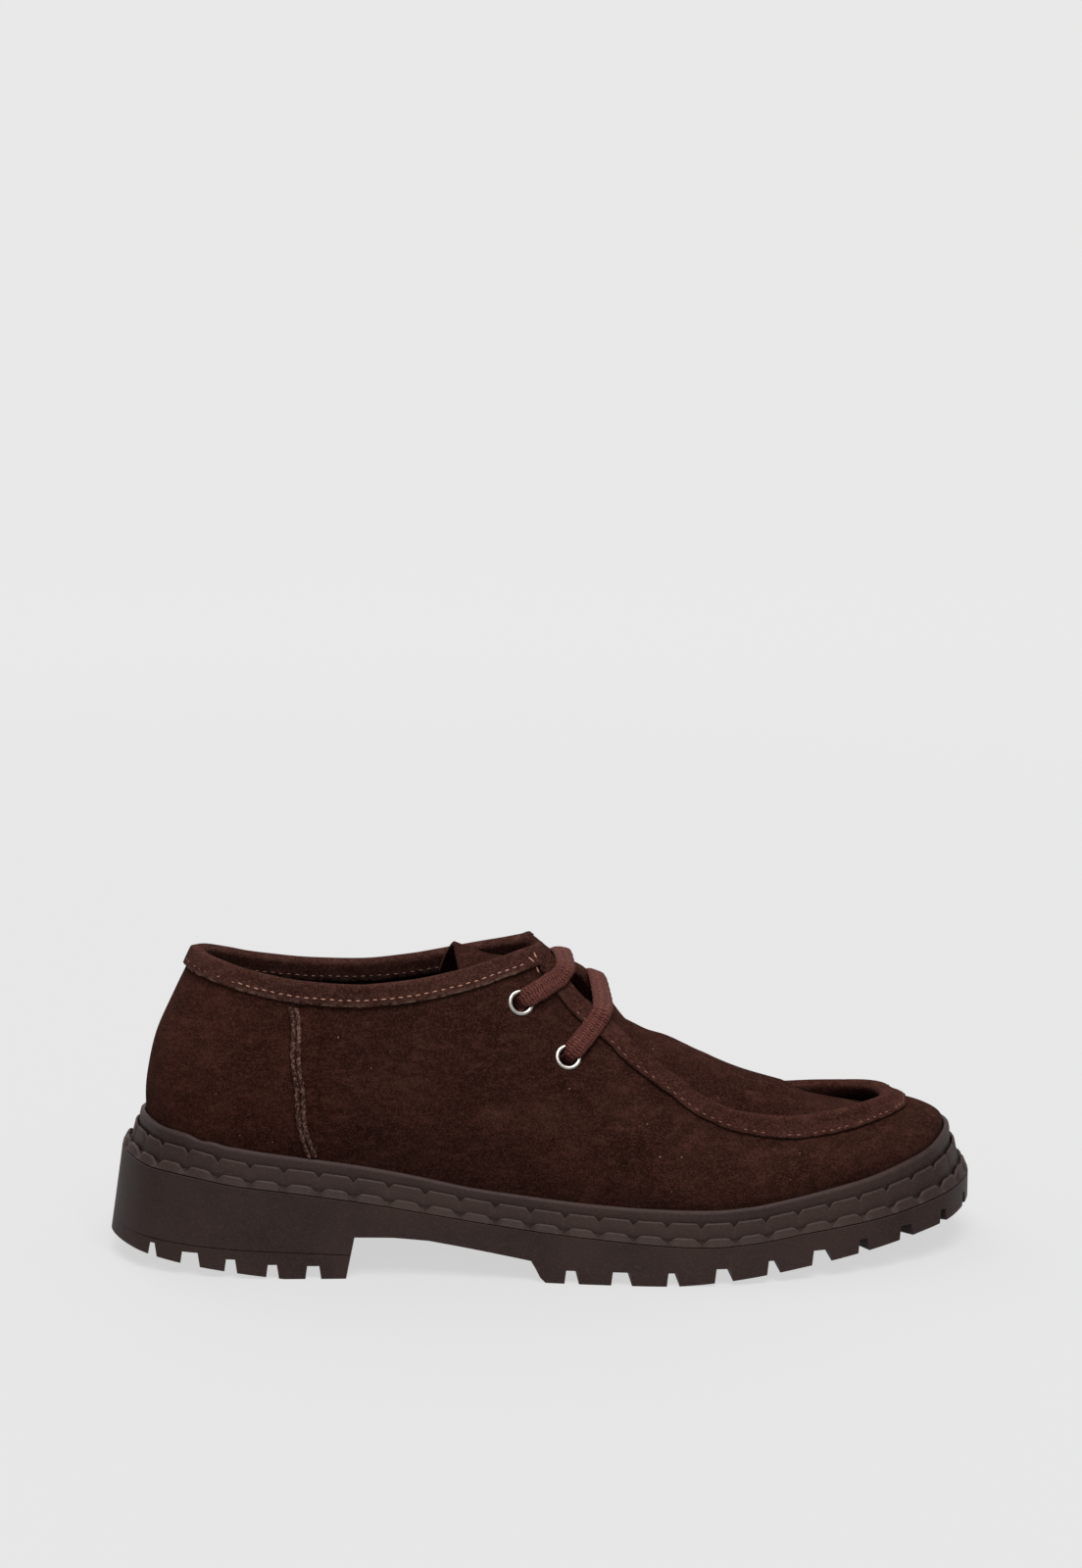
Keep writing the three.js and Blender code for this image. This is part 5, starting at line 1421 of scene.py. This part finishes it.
def over_throat(row):
    """From inside the outer eyelet over the throat to inside the inner one: places and faces."""
    name, turn, up, outer, inner = row
    clear = gap + 0.95 + lace_thickness / 2
    above = gap + binding_thickness + gap / 2 + lace_thickness / 2
    halves = []
    for side, crossing in ((-1, outer), (1, inner)):
        cross = side_way(side, crossing)
        start, normal, _, _ = eyelet_frame(side_way(side, turn), up)
        end = outer_at(cross, 1)
        toward = unit(end - start)
        path = [(start - normal * 3.4 + toward * 0.5, -toward)]
        path.append((start - normal * 0.7 + toward * 1.0, normal * 0.3 - toward))
        path.append((start + normal * 1.0 + toward * 1.5, normal - toward * 0.7))
        for way in (0.22, 0.4, 0.6, 0.82):
            guess = blend(side_way(side, turn), cross, way)
            on, height = nearest_on_wall(blend(start, end, way), guess, blend(up, 1, way))
            face = frame_at(on, min(height, 0.99))[0]
            place = outer_at(on, height) + face * (clear + lace_rise * 0.6 * way)
            path.append((place, face))
        normal, rise, _ = frame_at(cross, 0.99)
        face = unit(rise + 0.9 * normal)
        path.append((end + face * (above + lace_rise), face))
        halves.append(path)
    near, far = halves
    middle = (near[-1][0] + far[-1][0]) / 2 + (0.6, 0, 0.2)
    return near + [(middle, np.array((0.35, 0, 1)))] + far[::-1]


def inside_climb(side):
    """Inside a facing from the lower to the upper eyelet."""
    ends = [eyelet_frame(side_way(side, row[1]), row[2]) for row in eyelet_rows[::-1]]
    climb = []
    for way in (0.2, 0.5, 0.8):
        face = -unit(blend(ends[0][1], ends[1][1], way))
        climb.append((blend(ends[0][0], ends[1][0], way) + face * 5.0, face))
    return climb


lace_end = eyelet_frame(2 - eyelet_rows[0][1], eyelet_rows[0][2])
lace_route = [(lace_end[0] - lace_end[1] * 6.2 + lace_end[2] * 0.5, -lace_end[1])]
lace_route += inside_climb(1)[::-1] + over_throat(eyelet_rows[1])[::-1]
lace_route += inside_climb(-1) + over_throat(eyelet_rows[0])
lace_places = np.array([place for place, _ in lace_route])
lace_faces = np.array([unit(np.asarray(face, float)) for _, face in lace_route])
lace_at = np.linspace(0, len(lace_places) - 1, lace_count)
lace_line = along_line(lace_places, lace_at)
lace_way = unit(np.gradient(lace_line, axis=0))
lace_up = along_line(lace_faces, lace_at)
lace_up = unit(lace_up - lace_way * np.sum(lace_up * lace_way, -1, keepdims=True))
lace_side = np.cross(lace_way, lace_up)
lace_run = run_along(lace_line)
holes = np.array([eyelet_frame(w, row[2])[0] for row in eyelet_rows for w in (row[1], 2 - row[1])])
near_hole = np.min(np.linalg.norm(lace_line[:, None] - holes[None], axis=2), axis=1)
pinch = np.clip((near_hole - 0.7) / 2.6, 0, 1)
pinch = pinch * pinch * (3 - 2 * pinch)


def lace_spot(k, row):
    """A flat woven band with rounded edges, gathered where it passes an eyelet."""
    k = np.round(k).astype(int)
    angle = row * 2 * math.pi / lace_sides
    flat = np.sign(np.cos(angle)) * np.abs(np.cos(angle)) ** 0.5
    half_width = blend(2.3, lace_width / 2, pinch[k]) * (1 + 0.025 * np.sin(lace_run[k] * 1.3))
    half_height = blend(1.25, lace_thickness / 2, pinch[k])
    round_up = np.sign(np.sin(angle)) * np.abs(np.sin(angle)) ** 0.75
    braid = 0.07 * np.sin(lace_run[k] * 5.2 + 6.0 * np.abs(flat)) * np.abs(np.sin(angle))
    braid = braid + 0.13 * np.sin(lace_run[k] * 2.3 + 1.5 * flat) * np.abs(np.sin(angle)) * pinch[k]
    cup = 0.35 * (1 - flat**2) * pinch[k]
    points = lace_line[k] + lace_side[k] * (flat * half_width)[..., None]
    return points + lace_up[k] * (round_up * (half_height + braid) + cup - 0.2)[..., None]


bm = lattice(np.arange(lace_count), np.arange(lace_sides + 1), lace_spot, loop_v=True)
close_ends(bm)
layer = bm.loops.layers.uv["run"]
for face in bm.faces:
    for loop in face.loops:
        k, row = loop[layer].uv
        loop[layer].uv = (lace_run[int(k)] / 10, row / lace_sides)
woven, tree, shader = material(
    "lace_weave", roughness=0.9, specular_ior_level=0.06, sheen_weight=0.02,
    sheen_tint=(0.7, 0.4, 0.34, 1),
)
run = run_of(tree)
across = sums(tree, "PINGPONG", sums(tree, "MULTIPLY", run["Y"], 15.0), 0.5)
slant = sums(tree, "ADD", sums(tree, "MULTIPLY", run["X"], 9.5), across)
thread = sums(tree, "PINGPONG", slant, 0.5)
thread = sums(tree, "ADD", thread, sums(tree, "MULTIPLY", across, 0.35))
thread = band_of(tree, thread, 0.1, 0.5)
fuzz = noise_at(tree, 1100)
tint = mix_colour(tree, thread, (0.022, 0.0064, 0.005, 1), (0.071, 0.0218, 0.0172, 1))
tint = mix_colour(tree, band_of(tree, fuzz, 0.5, 0.72, 0, 0.6), tint, (0.108, 0.041, 0.033, 1))
dress(tree, shader, tint, sums(tree, "ADD", thread, sums(tree, "MULTIPLY", fuzz, 0.4)), 0.0004, 0.8)
lace = stand_piece(bm, "flat_lace", [woven])
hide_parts("lace_bar_upper", "lace_bar_lower")

# Stitching. Pale tan thread: a close row through the collar's tape, a sparser and darker one
# through the ridge's tape, and a bar tack where the two meet at the top of each facing.
twist, given, put_out = shader_group(
    "thread_twist", {"Dark": black, "Light": black}, "Color", "Height"
)
strands = noise_at(twist, 1300, 2)
put(twist, mix_colour(twist, strands, given["Dark"], given["Light"]), put_out["Color"])
put(twist, strands, put_out["Height"])


def thread_finish(name, dark, light):
    made, tree, shader = material(name, roughness=0.8, specular_ior_level=0.1)
    colour, height = place_group(tree, twist, Dark=dark, Light=light)
    dress(tree, shader, colour, height, 0.0002)
    return made


tan_thread = thread_finish("tan_thread", (0.13, 0.062, 0.044, 1), (0.3, 0.165, 0.12, 1))
dull_thread = thread_finish("dull_thread", (0.05, 0.021, 0.015, 1), (0.2, 0.105, 0.08, 1))


def sew(bm, at, way, normal, length, thickness):
    """One stitch: a small flattened bead lying along its seam."""
    side = np.cross(normal, way)
    turned = Matrix((way, side, normal)).transposed().to_4x4()
    turned.translation = Vector(in_frame(at))
    size = Matrix.Diagonal((length / 2000, thickness / 2000, thickness / 2400, 1))
    bmesh.ops.create_uvsphere(bm, u_segments=8, v_segments=6, radius=1, matrix=turned @ size)


def seam_row(bm, turns, down, off, pitch, length, thickness, wander, seed, kept):
    """A row of stitches at a share of the tape's reach down the wall."""
    pick = np.random.default_rng(seed)
    ups = up_below(turns, leg_at(turns) * down)
    normals = frame_at(turns, ups)[0]
    line = outer_at(turns, ups) + normals * off
    run = run_along(line)
    for at in np.arange(pitch / 2, run[-1], pitch):
        if pick.random() > kept:
            continue
        place = np.array([np.interp(at, run, line[:, k]) for k in range(3)])
        ahead = np.array([np.interp(at + 0.8, run, line[:, k]) for k in range(3)])
        normal = np.array([np.interp(at, run, normals[:, k]) for k in range(3)])
        normal = unit(normal * np.sign(off))
        way = unit(ahead - place)
        drift = np.cross(normal, way) * pick.uniform(-wander, wander)
        way = unit(way - normal * way.dot(normal) + drift)
        place = place + np.cross(normal, way) * pick.uniform(-0.12, 0.12)
        sew(bm, place, way, normal, length * pick.uniform(0.85, 1.1), thickness)


bm = bmesh.new()
outer_off = gap + binding_thickness
inner_off = -(wall + gap + binding_thickness)
collar_row = collar_turns[(collar_turns > 2 - 0.455) & (collar_turns < 2.455)]
round_heel = np.abs(collar_row - 2) < 0.15
stitch_rows = (
    # thread, turns, share down, off the wall, pitch, length, thickness, wander, seed, share kept
    (0, collar_row[collar_row > 2.145], 0.55, outer_off + 0.02, 2.9, 1.8, 0.5, 0.1, 3, 1),
    (0, collar_row[collar_row < 1.855], 0.55, outer_off + 0.02, 2.9, 1.8, 0.5, 0.1, 6, 1),
    (0, collar_row[round_heel], 0.56, outer_off - 0.06, 2.9, 1.2, 0.34, 0.2, 7, 0.6),
    (1, collar_row, 0.56, inner_off - 0.02, 2.9, 1.6, 0.4, 0.1, 4, 1),
    (1, ridge_turns[6:-6], 0.72, outer_off - 0.05, 3.05, 1.5, 0.4, 0.15, 5, 0.75),
)
for thread, *row in stitch_rows:
    sewn = len(bm.faces)
    seam_row(bm, *row)
    bm.faces.ensure_lookup_table()
    for face in bm.faces[sewn:]:
        face.material_index = thread
bar_tacks = (
    # turn, share down, slant, length
    (0.4615, 0.4, -1.05, 3.0),
    (0.458, 0.5, -0.56, 2.8),
    (0.4655, 0.98, -1.05, 2.9),
)
for side in (-1, 1):
    for t, down, slant, length in bar_tacks:
        turn = np.array(t if side < 0 else 2 - t)
        up = up_below(turn, leg_at(turn) * down)
        normal, rise, across = frame_at(turn, up)
        way = unit(across * math.cos(slant) * -side + rise * math.sin(slant))
        off = outer_off + 0.1 if down < 0.9 else 0.4
        sew(bm, outer_at(turn, up) + normal * off, way, normal, length, 0.66)
stand_piece(bm, "tan_stitches", [tan_thread, dull_thread])
